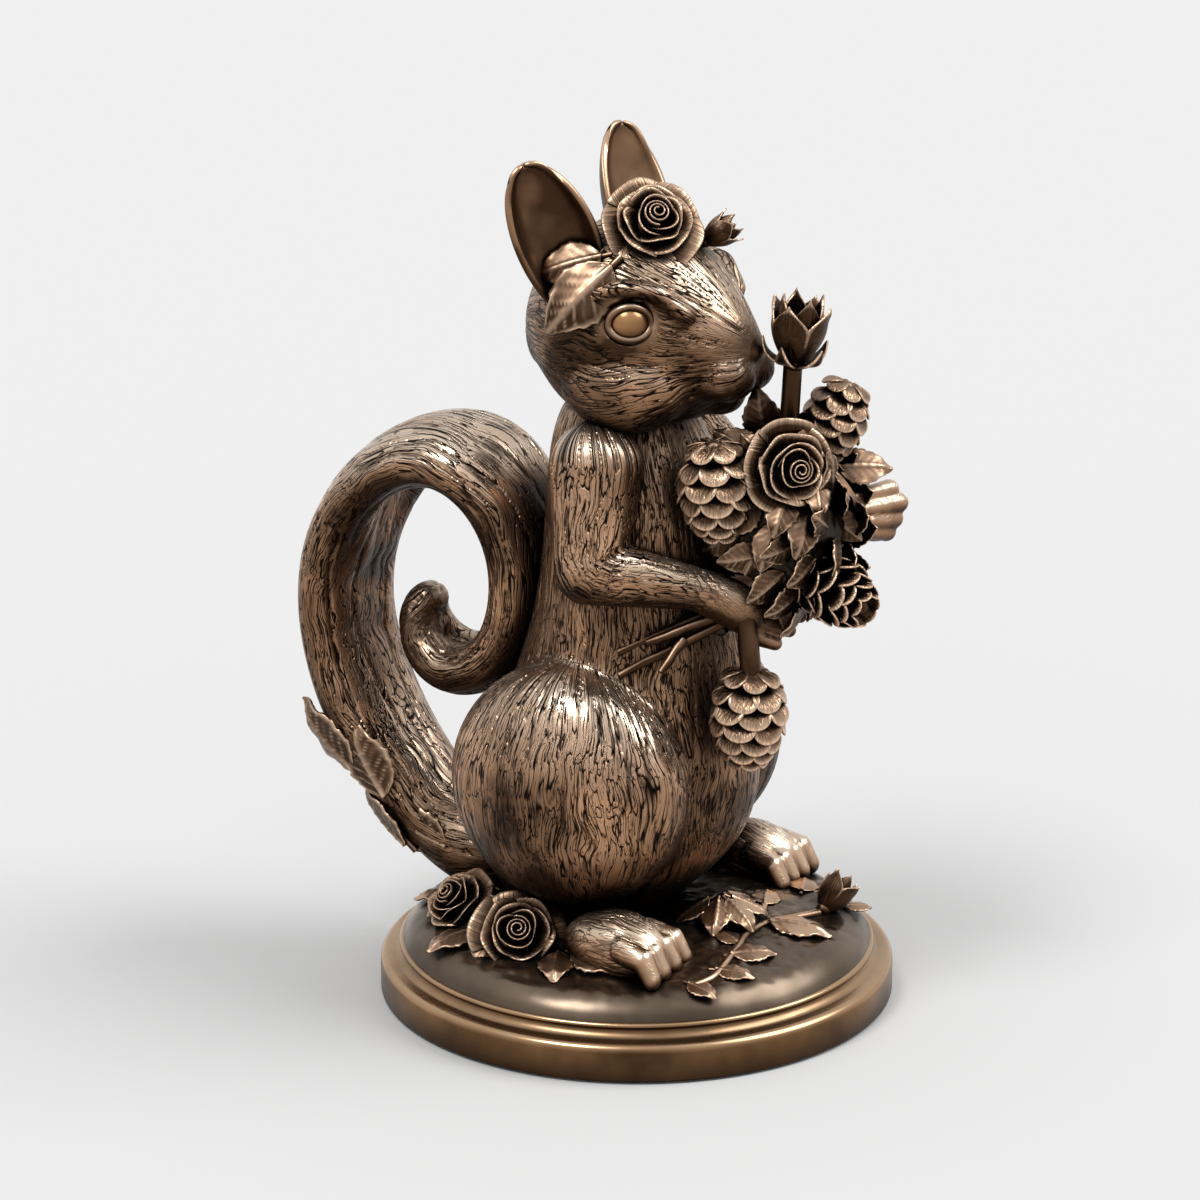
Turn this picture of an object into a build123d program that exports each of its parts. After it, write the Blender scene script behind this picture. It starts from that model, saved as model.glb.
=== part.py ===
from build123d import *
import math
import os

# Squirrel figurine on a round plinth: cast bronze sections seated and pinned together.
# Millimetres. Origin at the centre of the resting face, +Z up, the squirrel looks along -Y
# and its right side is -X.

# Driving dimensions of the plinth
plinth_radius = 83.5
band_height = 13.0
band_edge_radius = 2.6
cove_radius = 3.6
bead_radius = 1.3
ground_radius = 76.0
ground_rise = 14.5
shoulder_radius = 14.0
shoulder_angle = 25
ground_wall = 5.0
rim_width = 6.0
pad_thickness = 2.0
pad_proud = 0.8
pad_gap = 0.4

# Driving dimensions of the body
torso_width = 84.0
torso_depth = 92.0
torso_height = 162.0
seat_sink = 3.0
haunch_thickness = 54.0
haunch_diameter = 80.0

# Driving dimensions of the head
head_width = 62.0
head_length = 78.0
head_height = 67.0
neck_overlap = 4.0
muzzle_radius = 8.6
chin_radius = 7.6
nose_width = 9.0
cheek_radius = 16.5
eye_radius = 7.0
lid_width = 21.0
lid_height = 17.5
lid_rim = 2.0
lid_stand = 1.5
brow_radius = 3.0
ear_length = 38.0
ear_width = 25.0
ear_wall = 2.6
ear_cup_radius = 19.0
ear_root_radius = 8.0

# Driving dimensions of the limbs
upper_arm_radius = 15.0
elbow_radius = 11.0
wrist_radius = 6.6
palm_radius = 8.4
finger_radius = 3.3
finger_tip_radius = 2.3
foot_length = 42.0
foot_radius = 12.0
toe_radius = 4.6
toe_tip_radius = 3.4

# Driving dimensions of the tail
tail_reach = 73.0
tail_rise = 128.0
tail_root_height = 16.0
tail_width = 48.0
tail_thickness = 21.0
tail_trough_depth = 6.5

# Driving dimensions of the flowers, cones and leaves
bouquet_width = 44.0
bouquet_depth = 42.0
bouquet_height = 62.0
bouquet_rose_radius = 15.5
crown_rose_radius = 16.0
base_rose_front_radius = 16.0
base_rose_rear_radius = 13.5
bud_length = 25.0
crown_bud_length = 14.0
vine_bud_length = 16.0
stem_radius = 3.2
hanging_cone_length = 33.0
left_cone_length = 33.0
upper_cone_length = 28.0
lower_cone_length = 29.0
cone_stem_radius = 3.4
core_stem_radius = 4.4
crown_leaf_length = 29.0
bouquet_leaf_length = 19.0
vine_leaf_length = 13.0
base_leaf_length = 19.0
foliage_leaf_length = 15.0
sprig_leaf_length = 30.0
vine_radius = 1.25
vine_lift = 0.3
stick_radius = 1.9
stick_tip_radius = 1.2

# Driving dimensions of the fixings and the clearance they are fitted with
screw_radius = 3.0
screw_length = 44.0
screw_head_radius = 5.0
screw_head_height = 3.3
screw_spacing = 26.0
hex_key_radius = 2.3
washer_radius = 6.2
washer_thickness = 1.5
boss_radius = 9.0
boss_height = 12.0
dowel_radius = 3.0
dowel_length = 30.0
fit_clearance = 0.1
overrun = 1.0

os.makedirs("parts", exist_ok=True)

# Derived sizes that several pieces share
rim_height = band_height + cove_radius + bead_radius
ground_top = rim_height + ground_rise
head_place_shares = (0, 0.08, 0.45)
bouquet_place_shares = (0.07, -1.1, 0.82)
head_middle = Vector(
    0,
    head_place_shares[1] * torso_depth / 2,
    ground_top + torso_height + head_place_shares[2] * head_height,
)
bouquet_middle = Vector(
    bouquet_place_shares[0] * torso_width / 2,
    bouquet_place_shares[1] * torso_depth / 2,
    ground_top + bouquet_place_shares[2] * torso_height,
)

# Ground profile: a shoulder arc at the rim, tangent to a shallow crown arc in the middle
shoulder_reach = ground_radius - shoulder_radius * math.cos(math.radians(shoulder_angle))
shoulder_height = rim_height - shoulder_radius * math.sin(math.radians(shoulder_angle))
shoulder_drop = ground_top - shoulder_height
crown_radius = (shoulder_reach**2 + shoulder_drop**2 - shoulder_radius**2) / (
    2 * (shoulder_drop - shoulder_radius)
)
crown_reach = shoulder_reach * crown_radius / (crown_radius - shoulder_radius)


def ground_height(reach):
    """Height of the domed ground at a distance from the middle of the plinth."""
    if reach < crown_reach:
        return ground_top - crown_radius + math.sqrt(crown_radius**2 - reach**2)
    return shoulder_height + math.sqrt(shoulder_radius**2 - (reach - shoulder_reach) ** 2)


def on_ground(reach_share, bearing, lift=0):
    """Point on the domed ground, by its share of the ground radius and its bearing."""
    reach = reach_share * ground_radius
    angle = math.radians(bearing)
    return Vector(reach * math.cos(angle), reach * math.sin(angle), ground_height(reach) + lift)


def on_torso(side_share, forward_share, height_share):
    """Point beside the torso, in shares of its half width, half depth and height."""
    return Vector(
        side_share * torso_width / 2,
        forward_share * torso_depth / 2,
        ground_top + height_share * torso_height,
    )


def on_head(side_share, forward_share, height_share):
    """Point on the head, in shares of its half sizes from its middle."""
    half_sizes = Vector(
        side_share * head_width / 2, forward_share * head_length / 2, height_share * head_height / 2
    )
    return head_middle + half_sizes


def in_bouquet(side_share, forward_share, height_share):
    """Point in the bouquet, in shares of its half sizes from its middle."""
    half_sizes = Vector(
        side_share * bouquet_width / 2,
        forward_share * bouquet_depth / 2,
        height_share * bouquet_height / 2,
    )
    return bouquet_middle + half_sizes


oval_tightness = 1.12
oval_limit_share = 0.98


def sideways(direction):
    """A direction square to the one given."""
    return Plane(origin=(0, 0, 0), z_dir=direction).x_dir


def spheroid(middle, direction, half_length, radius):
    """Add an egg-like form turned from a three-arc oval about its own axis."""
    longer, shorter = max(half_length, radius), min(half_length, radius)
    tight = min(shorter * shorter / longer * oval_tightness, shorter * oval_limit_share)
    wide = ((longer - tight) ** 2 + shorter**2 - tight**2) / (2 * (shorter - tight))
    lean = math.atan2(wide - shorter, longer - tight)
    joint = (longer - tight + tight * math.cos(lean), tight * math.sin(lean))
    with BuildSketch(Plane(origin=middle, x_dir=direction, z_dir=sideways(direction))) as profile:
        with BuildLine():
            if half_length >= radius:
                near = RadiusArc((-longer, 0), (-joint[0], joint[1]), tight)
                belt = RadiusArc(near @ 1, joint, wide)
                RadiusArc(belt @ 1, (longer, 0), tight)
                Line((longer, 0), (-longer, 0))
            else:
                near = RadiusArc((-shorter, 0), (-joint[1], joint[0]), wide)
                belt = RadiusArc(near @ 1, (joint[1], joint[0]), tight)
                RadiusArc(belt @ 1, (shorter, 0), wide)
                Line((shorter, 0), (-shorter, 0))
        make_face()
    revolve(profile.sketch, axis=Axis(middle, direction), clean=False)


def bone(start, end, start_radius, end_radius):
    """Add a tapered limb with a ball at each end, turned about its own axis."""
    direction = Vector(*end) - Vector(*start)
    length = direction.length
    lean = (start_radius - end_radius) / length
    flank = math.sqrt(1 - lean**2)
    flank_angle = math.acos(lean)
    start_turn = (math.pi + flank_angle) / 2
    end_turn = flank_angle / 2
    with BuildSketch(Plane(origin=start, x_dir=direction, z_dir=sideways(direction))) as profile:
        with BuildLine():
            start_ball = ThreePointArc(
                (-start_radius, 0),
                (start_radius * math.cos(start_turn), start_radius * math.sin(start_turn)),
                (start_radius * lean, start_radius * flank),
            )
            end_ball = ThreePointArc(
                (length + end_radius * lean, end_radius * flank),
                (length + end_radius * math.cos(end_turn), end_radius * math.sin(end_turn)),
                (length + end_radius, 0),
            )
            Line(start_ball @ 1, end_ball @ 0)
            Line(end_ball @ 1, start_ball @ 0)
        make_face()
    revolve(profile.sketch, axis=Axis(start, direction), clean=False)


def bone_chain(points, start_radius, end_radius):
    """Add a limb or stem that tapers through several points."""
    steps = len(points) - 1
    radii = [start_radius + (end_radius - start_radius) * k / steps for k in range(steps + 1)]
    for k in range(steps):
        bone(points[k], points[k + 1], radii[k], radii[k + 1])


carrier_boxes = {}


def box_of(carrier):
    """Box round a carrier, measured once."""
    if id(carrier) not in carrier_boxes:
        carrier_boxes[id(carrier)] = carrier.part.bounding_box(optimal=False)
    return carrier_boxes[id(carrier)]


def seat(piece, carriers, solids_kept=1):
    """Cut each solid of a piece back to the faces of what carries it, and keep the main ones."""
    seated = []
    for solid in piece.part.solids():
        box = solid.bounding_box(optimal=False)
        for carrier in carriers:
            if box.overlaps(box_of(carrier)):
                solid = solid.cut(*carrier.part.solids())
        seated.extend(solid.solids())
    seated.sort(key=lambda solid: solid.volume)
    add(seated[-solids_kept:], clean=False, mode=Mode.REPLACE)


# Unit rose, facing +Z, with a rim radius of one: a spiral heart inside rings of petals.
# Each row gives the petals of a ring, the radii of their foot and rim, their height,
# half their width, and the turn of the ring in degrees.
petal_ring_shares = (
    (3, 0.13, 0.30, 0.80, 0.27, 25),
    (4, 0.16, 0.45, 0.76, 0.36, 40),
    (5, 0.24, 0.70, 0.64, 0.44, 20),
    (6, 0.34, 0.98, 0.46, 0.54, 50),
)
petal_wall_share = 0.055
petal_bulge_share = 0.35
petal_belly_share = 0.6
petal_hollow_share = 0.64
petal_lean = 9
heart_turn_shares = (0.03, 0.06, 0.09, 0.12, 0.15)
heart_wall_share = 0.04
heart_height_share = 0.84
cup_radius_share = 0.46
cup_height_share = 0.27

with BuildPart() as rose_form:
    with BuildSketch(Plane.XZ) as rose_cup_profile:
        with BuildLine():
            cup_side = ThreePointArc(
                (0, -cup_height_share / 2),
                (cup_radius_share * 2 / 3, 0),
                (cup_radius_share, cup_height_share),
            )
            Line(cup_side @ 1, (0, cup_height_share))
            Line((0, cup_height_share), cup_side @ 0)
        make_face()
    revolve(axis=Axis.Z)
    # Spiral heart: half turns that grow, thickened by the wall
    with BuildSketch(Plane.XY) as heart_profile:
        with BuildLine():
            turn_start = 0
            side = 1
            outer_points = []
            for turn_radius in heart_turn_shares:
                turn_end = turn_start + side * 2 * turn_radius
                middle = (turn_start + turn_end) / 2
                ThreePointArc((turn_start, 0), (middle, side * turn_radius), (turn_end, 0))
                outer_points.append((turn_start, turn_end, side))
                turn_start = turn_end
                side = -side
            Line((turn_start, 0), (turn_start + side * heart_wall_share, 0))
            for turn_start, turn_end, side in reversed(outer_points):
                wall_start = turn_end + side * heart_wall_share
                wall_end = turn_start - side * heart_wall_share
                wall_middle = (wall_start + wall_end) / 2
                reach = abs(wall_start - wall_end) / 2
                ThreePointArc((wall_start, 0), (wall_middle, side * reach), (wall_end, 0))
            Line((-heart_wall_share, 0), (0, 0))
        make_face()
    extrude(amount=heart_height_share, clean=False)
    for count, foot, rim, height, half_width, turn in petal_ring_shares:
        belly = foot + (rim - foot) * petal_bulge_share
        with BuildSketch(Plane.XZ) as petal_profile:
            with BuildLine():
                outside = ThreePointArc(
                    (rim, height),
                    (belly + petal_wall_share, height * petal_belly_share),
                    (foot, 0),
                )
                inside = ThreePointArc(
                    (foot - petal_wall_share, 0),
                    (belly, height * petal_hollow_share),
                    (rim - petal_wall_share, height),
                )
                Line(outside @ 1, inside @ 0)
                Line(inside @ 1, outside @ 0)
            make_face()
        with BuildSketch(Plane.YZ) as petal_outline:
            with Locations((0, height - half_width)):
                Circle(half_width)
        span = 2 * math.degrees(math.asin(min(1, half_width / rim)))
        wall = revolve(petal_profile.sketch, axis=Axis.Z, revolution_arc=span, mode=Mode.PRIVATE)
        window = extrude(petal_outline.sketch, amount=2 * rim, mode=Mode.PRIVATE)
        petal = (wall.rotate(Axis.Z, -span / 2) & window).rotate(Axis.X, petal_lean)
        add([petal.rotate(Axis.Z, turn + 360 * k / count) for k in range(count)], clean=False)

# Unit cone, stem end at the origin and tip at +Z, with a length of one
cone_core_half_share = 0.5
cone_core_radius_share = 0.24
cone_scale_radius_shares = (0.145, 0.157, 0.164, 0.164, 0.158, 0.147, 0.131)
cone_scales_in_row = 7
cone_scale_wall_share = 0.05
cone_scale_tilt = 34
cone_first_row_share = 0.09
cone_row_span_share = 0.74

with BuildPart() as cone_form:
    spheroid(
        Vector(0, 0, cone_core_half_share),
        Vector(0, 0, 1),
        cone_core_half_share,
        cone_core_radius_share,
    )
    for row, scale_radius in enumerate(cone_scale_radius_shares):
        travel = row / (len(cone_scale_radius_shares) - 1)
        height = cone_first_row_share + cone_row_span_share * travel
        core_reach = cone_core_radius_share * math.sqrt(1 - (2 * height - 1) ** 2)
        row_turn = row * 180 / cone_scales_in_row
        with Locations((0, 0, height)):
            with PolarLocations(core_reach, cone_scales_in_row, start_angle=row_turn):
                Cylinder(scale_radius, cone_scale_wall_share, rotation=(0, -cone_scale_tilt, 0))

# Unit bud, foot at the origin and tip at +Z, with a length of one: petals wrapped round a
# core that stands on a calyx ball
bud_core_shares = (0.5, 0.5, 0.24)
bud_petals = 3
bud_petal_shares = (0.44, 0.42, 0.25)
bud_offset_share = 0.1
bud_lean_share = 0.1
bud_twist_share = 0.2
calyx_radius_share = 0.13

with BuildPart() as bud_form:
    rise, half_length, radius = bud_core_shares
    spheroid(Vector(0, 0, rise), Vector(0, 0, 1), half_length, radius)
    rise, half_length, radius = bud_petal_shares
    for k in range(bud_petals):
        angle = 2 * math.pi * k / bud_petals
        outward = Vector(math.cos(angle), math.sin(angle), 0)
        around = outward.cross(Vector(0, 0, 1))
        lean_in = Vector(0, 0, 1) - outward * bud_lean_share + around * bud_twist_share
        spheroid(outward * bud_offset_share + Vector(0, 0, rise), lean_in, half_length, radius)
    with Locations((0, 0, calyx_radius_share / 2)):
        Sphere(calyx_radius_share)

# Unit leaf, stalk end at the origin and tip at +X, upper face to +Z, with a length of one:
# two toothed halves folded along a rib
leaf_teeth = 3
leaf_half_width_share = 0.31
leaf_tooth_share = 0.07
leaf_wall_share = 0.07
leaf_fold = 13
leaf_skew = 0.8
leaf_rib_taper = 1.5
leaf_rib_radius_share = 0.045
leaf_stalk_share = 0.14
leaf_tip_share = 0.02

with BuildPart() as leaf_form:
    for side in (-1, 1):
        edge_shares = []
        for k in range(1, 2 * leaf_teeth):
            travel = k / (2 * leaf_teeth)
            flare = 1 + leaf_tooth_share * (1 if k % 2 else -1)
            breadth = leaf_half_width_share * math.sin(math.pi * travel**leaf_skew) * flare
            edge_shares.append((travel, side * breadth))
        with BuildSketch(Plane.XY) as half_outline:
            with BuildLine():
                Polyline([(0, 0)] + edge_shares + [(1, 0), (0, 0)])
            make_face()
        half_leaf = extrude(half_outline.sketch, amount=leaf_wall_share, mode=Mode.PRIVATE)
        add(half_leaf.rotate(Axis.X, -side * leaf_fold), clean=False)
    with BuildSketch(Plane.YZ.offset(-leaf_stalk_share)) as rib:
        RegularPolygon(leaf_rib_radius_share, 6)
    extrude(rib.sketch, amount=1 + leaf_stalk_share + leaf_tip_share, taper=leaf_rib_taper)


def place(form, size, origin, facing, heading=None):
    """Add a copy of a unit form at its real size, standing on a point and facing a way."""
    plane = Plane(origin=origin, x_dir=heading, z_dir=facing)
    add(scale(form.part, by=size, mode=Mode.PRIVATE).moved(plane.location), clean=False)


def place_on_ground(form, size, reach_share, bearing, heading_bearing, lift=0):
    """Add a copy of a unit form that lies on the domed ground and points along a bearing."""
    origin = on_ground(reach_share, bearing, lift)
    normal = origin - Vector(0, 0, ground_top - crown_radius)
    angle = math.radians(heading_bearing)
    place(form, size, origin, normal, Vector(math.cos(angle), math.sin(angle), 0))


# Plinth: turned side band, cove, bead and domed ground, first as a solid form that the
# pieces above are cut by, then hollowed from below with two screw bosses
mound_shares = (
    (0.52, -18, 13),
    (0.50, 20, 16),
    (0.60, 62, 12),
    (0.45, 100, 18),
    (0.52, 170, 15),
    (0.50, -160, 13),
    (0.42, -96, 13),
    (0.72, -12, 9),
)
mound_sink_share = 0.62
mound_flat_share = 0.8

with BuildPart() as plinth_form:
    with BuildSketch(Plane.XZ) as plinth_profile:
        with BuildLine():
            side_line = Line((plinth_radius, pad_proud), (plinth_radius, band_height - band_edge_radius))
            edge_arc = RadiusArc(
                side_line @ 1,
                (plinth_radius - band_edge_radius, band_height),
                -band_edge_radius,
            )
            cove_start = (ground_radius + cove_radius, band_height)
            Line(edge_arc @ 1, cove_start)
            bead_side = (ground_radius + bead_radius, rim_height - bead_radius)
            cove_arc = RadiusArc(cove_start, bead_side, cove_radius)
            bead_arc = RadiusArc(cove_arc @ 1, (ground_radius, rim_height), -bead_radius)
            shoulder_arc = RadiusArc(
                (ground_radius, rim_height), (crown_reach, ground_height(crown_reach)), -shoulder_radius
            )
            dome = RadiusArc(shoulder_arc @ 1, (0, ground_top), -crown_radius)
            Line(dome @ 1, (0, pad_proud))
            Line((0, pad_proud), side_line @ 0)
        make_face()
    revolve(axis=Axis.Z)
    for reach_share, bearing, mound_radius in mound_shares:
        mound_middle = on_ground(reach_share, bearing, -mound_sink_share * mound_radius)
        angle = math.radians(bearing)
        outward = Vector(math.cos(angle), math.sin(angle), 0)
        spheroid(mound_middle, outward, mound_radius, mound_flat_share * mound_radius)

cavity_radius = ground_radius - ground_wall
cavity_rise = ground_rise - ground_wall
roof_share = (cavity_radius**2 + cavity_rise**2) / (2 * cavity_rise) / crown_radius
pad_recess_radius = plinth_radius - rim_width
pad_radius = pad_recess_radius - pad_gap
screw_forward_share = 0.1
screw_places = [(side * screw_spacing / 2, screw_forward_share * torso_depth) for side in (-1, 1)]
boss_foot = ground_top - ground_wall - boss_height

with BuildPart() as plinth:
    add(plinth_form.part, clean=False)
    with BuildSketch(Plane.XZ) as cavity_profile:
        with BuildLine():
            wall_line = Line((cavity_radius, pad_thickness), (cavity_radius, rim_height))
            roof = RadiusArc(wall_line @ 1, (0, rim_height + cavity_rise), -crown_radius * roof_share)
            Line(roof @ 1, (0, pad_thickness))
            Line((0, pad_thickness), wall_line @ 0)
        make_face()
    revolve(axis=Axis.Z, clean=False, mode=Mode.SUBTRACT)
    with BuildSketch(Plane.XY.offset(pad_proud)):
        Circle(pad_recess_radius)
    extrude(amount=pad_thickness - pad_proud, mode=Mode.SUBTRACT)
    with BuildSketch(Plane.XY.offset(boss_foot)) as boss_faces:
        with Locations(*screw_places):
            Circle(boss_radius)
    extrude(amount=boss_height + overrun)
    with BuildSketch(Plane.XY.offset(boss_foot)) as screw_holes:
        with Locations(*screw_places):
            Circle(screw_radius + fit_clearance)
    extrude(amount=screw_length, mode=Mode.SUBTRACT)
plinth.part.label = "plinth"
export_step(plinth.part, "parts/plinth.step")

# Felt pad glued into the recess; the figurine rests on it
with BuildPart() as felt_pad:
    Cylinder(pad_radius, pad_thickness, align=(Align.CENTER, Align.CENTER, Align.MIN))
felt_pad.part.label = "felt_pad"
export_step(felt_pad.part, "parts/felt_pad.step")

# Screws and washers that clamp the body to the plinth from below
washer_foot = boss_foot - washer_thickness
with BuildPart() as screw_washers:
    with BuildSketch(Plane.XY.offset(washer_foot)):
        with Locations(*screw_places):
            Circle(washer_radius)
            Circle(screw_radius + fit_clearance, mode=Mode.SUBTRACT)
    extrude(amount=washer_thickness)
screw_washers.part.label = "screw_washers"
export_step(screw_washers.part, "parts/screw_washers.step")

with BuildPart() as figure_screws:
    with BuildSketch(Plane.XY.offset(washer_foot - screw_head_height)):
        with Locations(*screw_places):
            Circle(screw_head_radius)
    extrude(amount=screw_head_height)
    with BuildSketch(Plane.XY.offset(washer_foot)):
        with Locations(*screw_places):
            Circle(screw_radius)
    extrude(amount=screw_length)
    with BuildSketch(Plane.XY.offset(washer_foot - screw_head_height)):
        with Locations(*screw_places):
            RegularPolygon(hex_key_radius, 6)
    extrude(amount=screw_head_height * 2 / 3, mode=Mode.SUBTRACT)
figure_screws.part.label = "figure_screws"
export_step(figure_screws.part, "parts/figure_screws.step")

# Body: ellipses lofted from the seat to the neck spigot, with a haunch on each side.
# Each row gives the height, the middle, the width and the depth of a section.
seat_section_shares = (0.32, 0.68, 0.58)
torso_section_shares = (
    (0.074, 0.28, 0.88, 0.84),
    (0.228, 0.15, 1.00, 1.00),
    (0.383, 0.06, 0.90, 0.92),
    (0.525, 0.00, 0.80, 0.80),
    (0.691, -0.02, 0.74, 0.69),
    (0.846, 0.00, 0.68, 0.63),
    (0.960, 0.05, 0.56, 0.54),
)
neck_section_shares = (0.07, 0.46, 0.43)
haunch_shares = (0.79, 0.15, 0.29)
tail_dowel_height = ground_top + tail_root_height
tail_root_share = 0.98
neck_dowel_share = 0.1
tail_root = Vector(0, tail_root_share * torso_depth / 2, tail_dowel_height)
tail_root_direction = Vector(0, 1, 0.35)
neck_top = ground_top + torso_height + neck_overlap
dowel_bore_radius = dowel_radius + fit_clearance
neck_dowel_foot = Vector(0, neck_dowel_share * torso_depth / 2, neck_top - dowel_length / 2)
tail_dowel_foot = tail_root - tail_root_direction.normalized() * dowel_length / 2


def dowel_hole():
    """Cut the two dowel holes out of the piece in hand."""
    for foot, direction in ((neck_dowel_foot, Vector(0, 0, 1)), (tail_dowel_foot, tail_root_direction)):
        with BuildSketch(Plane(origin=foot, z_dir=direction)) as hole:
            Circle(dowel_bore_radius)
        extrude(hole.sketch, amount=dowel_length + fit_clearance, dir=direction, mode=Mode.SUBTRACT)


with BuildPart() as torso:
    middle_share, width_share, depth_share = seat_section_shares
    with BuildSketch(Plane.XY.offset(ground_top - seat_sink)):
        with Locations((0, middle_share * torso_depth / 2)):
            Ellipse(width_share * torso_width / 2, depth_share * torso_depth / 2)
    for height_share, middle_share, width_share, depth_share in torso_section_shares:
        with BuildSketch(Plane.XY.offset(ground_top + height_share * torso_height)):
            with Locations((0, middle_share * torso_depth / 2)):
                Ellipse(width_share * torso_width / 2, depth_share * torso_depth / 2)
    middle_share, width_share, depth_share = neck_section_shares
    with BuildSketch(Plane.XY.offset(neck_top)):
        with Locations((0, middle_share * torso_depth / 2)):
            Ellipse(width_share * torso_width / 2, depth_share * torso_depth / 2)
    loft()
    for side in (-1, 1):
        haunch_middle = on_torso(side * haunch_shares[0], haunch_shares[1], haunch_shares[2])
        spheroid(haunch_middle, Vector(1, 0, 0), haunch_thickness / 2, haunch_diameter / 2)
    with BuildSketch(Plane.XY.offset(boss_foot)) as tapped_holes:
        with Locations(*screw_places):
            Circle(screw_radius + fit_clearance)
    extrude(amount=screw_length + fit_clearance, mode=Mode.SUBTRACT)
    dowel_hole()
    seat(torso, [plinth_form])
torso.part.label = "torso"
export_step(torso.part, "parts/torso.step")

# Dowels that pin the head to the neck and the tail to the back
with BuildPart() as neck_dowel:
    with BuildSketch(Plane(origin=neck_dowel_foot, z_dir=(0, 0, 1))):
        Circle(dowel_radius)
    extrude(amount=dowel_length)
neck_dowel.part.label = "neck_dowel"
export_step(neck_dowel.part, "parts/neck_dowel.step")

with BuildPart() as tail_dowel:
    with BuildSketch(Plane(origin=tail_dowel_foot, z_dir=tail_root_direction)):
        Circle(dowel_radius)
    extrude(amount=dowel_length)
tail_dowel.part.label = "tail_dowel"
export_step(tail_dowel.part, "parts/tail_dowel.step")

# Head: ellipses lofted from the back of the skull to the nose, with cheeks, muzzle, chin,
# brows and eyelids. Each row gives the place along the head, the height of the middle,
# the width and the height of a section.
head_section_shares = (
    (0.80, -0.05, 0.20, 0.20),
    (0.68, -0.05, 0.55, 0.52),
    (0.42, -0.02, 0.84, 0.82),
    (0.06, 0.02, 1.00, 0.99),
    (-0.30, 0.02, 0.96, 0.94),
    (-0.60, -0.04, 0.80, 0.82),
    (-0.86, -0.10, 0.56, 0.60),
    (-1.04, -0.15, 0.36, 0.38),
    (-1.18, -0.17, 0.16, 0.16),
)
eye_shares = (0.80, -0.34, 0.21)
eye_outward = Vector(0.84, -0.5, 0.12)
cheek_shares = (0.52, -0.20, -0.44)
muzzle_shares = (0.21, -0.96, -0.34)
chin_place_shares = (0, -0.82, -0.56)
nose_shares = (0, -1.14, -0.13)
brow_path_shares = (
    (0.60, -0.77, 0.29),
    (0.75, -0.59, 0.52),
    (0.90, -0.28, 0.56),
    (0.96, -0.02, 0.42),
)
brow_taper_share = 0.8
cheek_stretch_share = 1.3
muzzle_stretch_share = 1.2
nose_depth_share = 0.4


def mirrored(side, point):
    """The point itself on the left side, or its mirror image on the right side."""
    return Vector(side * point.X, point.Y, point.Z)


with BuildPart() as eye_balls:
    for side in (-1, 1):
        with Locations(mirrored(side, on_head(*eye_shares))):
            Sphere(eye_radius)

with BuildPart() as head:
    for along_share, rise_share, width_share, height_share in head_section_shares:
        section_middle = on_head(0, along_share, rise_share)
        with BuildSketch(Plane(origin=section_middle, x_dir=(1, 0, 0), z_dir=(0, -1, 0))):
            Ellipse(width_share * head_width / 2, height_share * head_height / 2)
    loft()
    for side in (-1, 1):
        cheek_middle = mirrored(side, on_head(*cheek_shares))
        spheroid(cheek_middle, Vector(0, 1, 0), cheek_radius * cheek_stretch_share, cheek_radius)
        muzzle_middle = mirrored(side, on_head(*muzzle_shares))
        spheroid(muzzle_middle, Vector(0, 1, 0), muzzle_radius * muzzle_stretch_share, muzzle_radius)
        brow_path = [mirrored(side, on_head(*shares)) for shares in brow_path_shares]
        bone_chain(brow_path, brow_radius, brow_radius * brow_taper_share)
        lid_facing = mirrored(side, eye_outward)
        eye_middle = mirrored(side, on_head(*eye_shares))
        lid_plane = Plane(origin=eye_middle, x_dir=(0, -side, 0), z_dir=lid_facing)
        with BuildSketch(lid_plane) as lid:
            Ellipse(lid_width / 2, lid_height / 2)
            Ellipse(lid_width / 2 - lid_rim, lid_height / 2 - lid_rim, mode=Mode.SUBTRACT)
        lid_bar = extrude(lid.sketch, amount=2 * eye_radius, dir=lid_facing, mode=Mode.PRIVATE)
        lid_ball = Solid.make_sphere(eye_radius + lid_stand).moved(lid_plane.location)
        add(lid_bar & lid_ball, clean=False)
    chin_middle = on_head(*chin_place_shares)
    spheroid(chin_middle, Vector(0, 1, 0), chin_radius * muzzle_stretch_share, chin_radius)
    nose_middle = on_head(*nose_shares)
    spheroid(nose_middle, Vector(1, 0, 0), nose_width / 2, nose_width * nose_depth_share)
    dowel_hole()
    seat(head, [torso, eye_balls])
head.part.label = "head"
export_step(head.part, "parts/head.step")

# Polished eye balls in their sockets
with BuildPart() as left_eye:
    with Locations(on_head(*eye_shares)):
        Sphere(eye_radius)
left_eye.part.label = "left_eye"
export_step(left_eye.part, "parts/left_eye.step")

with BuildPart() as right_eye:
    with Locations(mirrored(-1, on_head(*eye_shares))):
        Sphere(eye_radius)
right_eye.part.label = "right_eye"
export_step(right_eye.part, "parts/right_eye.step")

# Ears: pointed shells cut from a hollow ball, cupped outwards, let into the head
ear_root_shares = (0.70, 0.30, 0.70)
ear_up = Vector(0.34, 0.22, 1)
ear_facing = Vector(0.62, -0.72, 0)
ear_cup_height_share = 0.42
ear_root_stretch_share = 1.2

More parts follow.
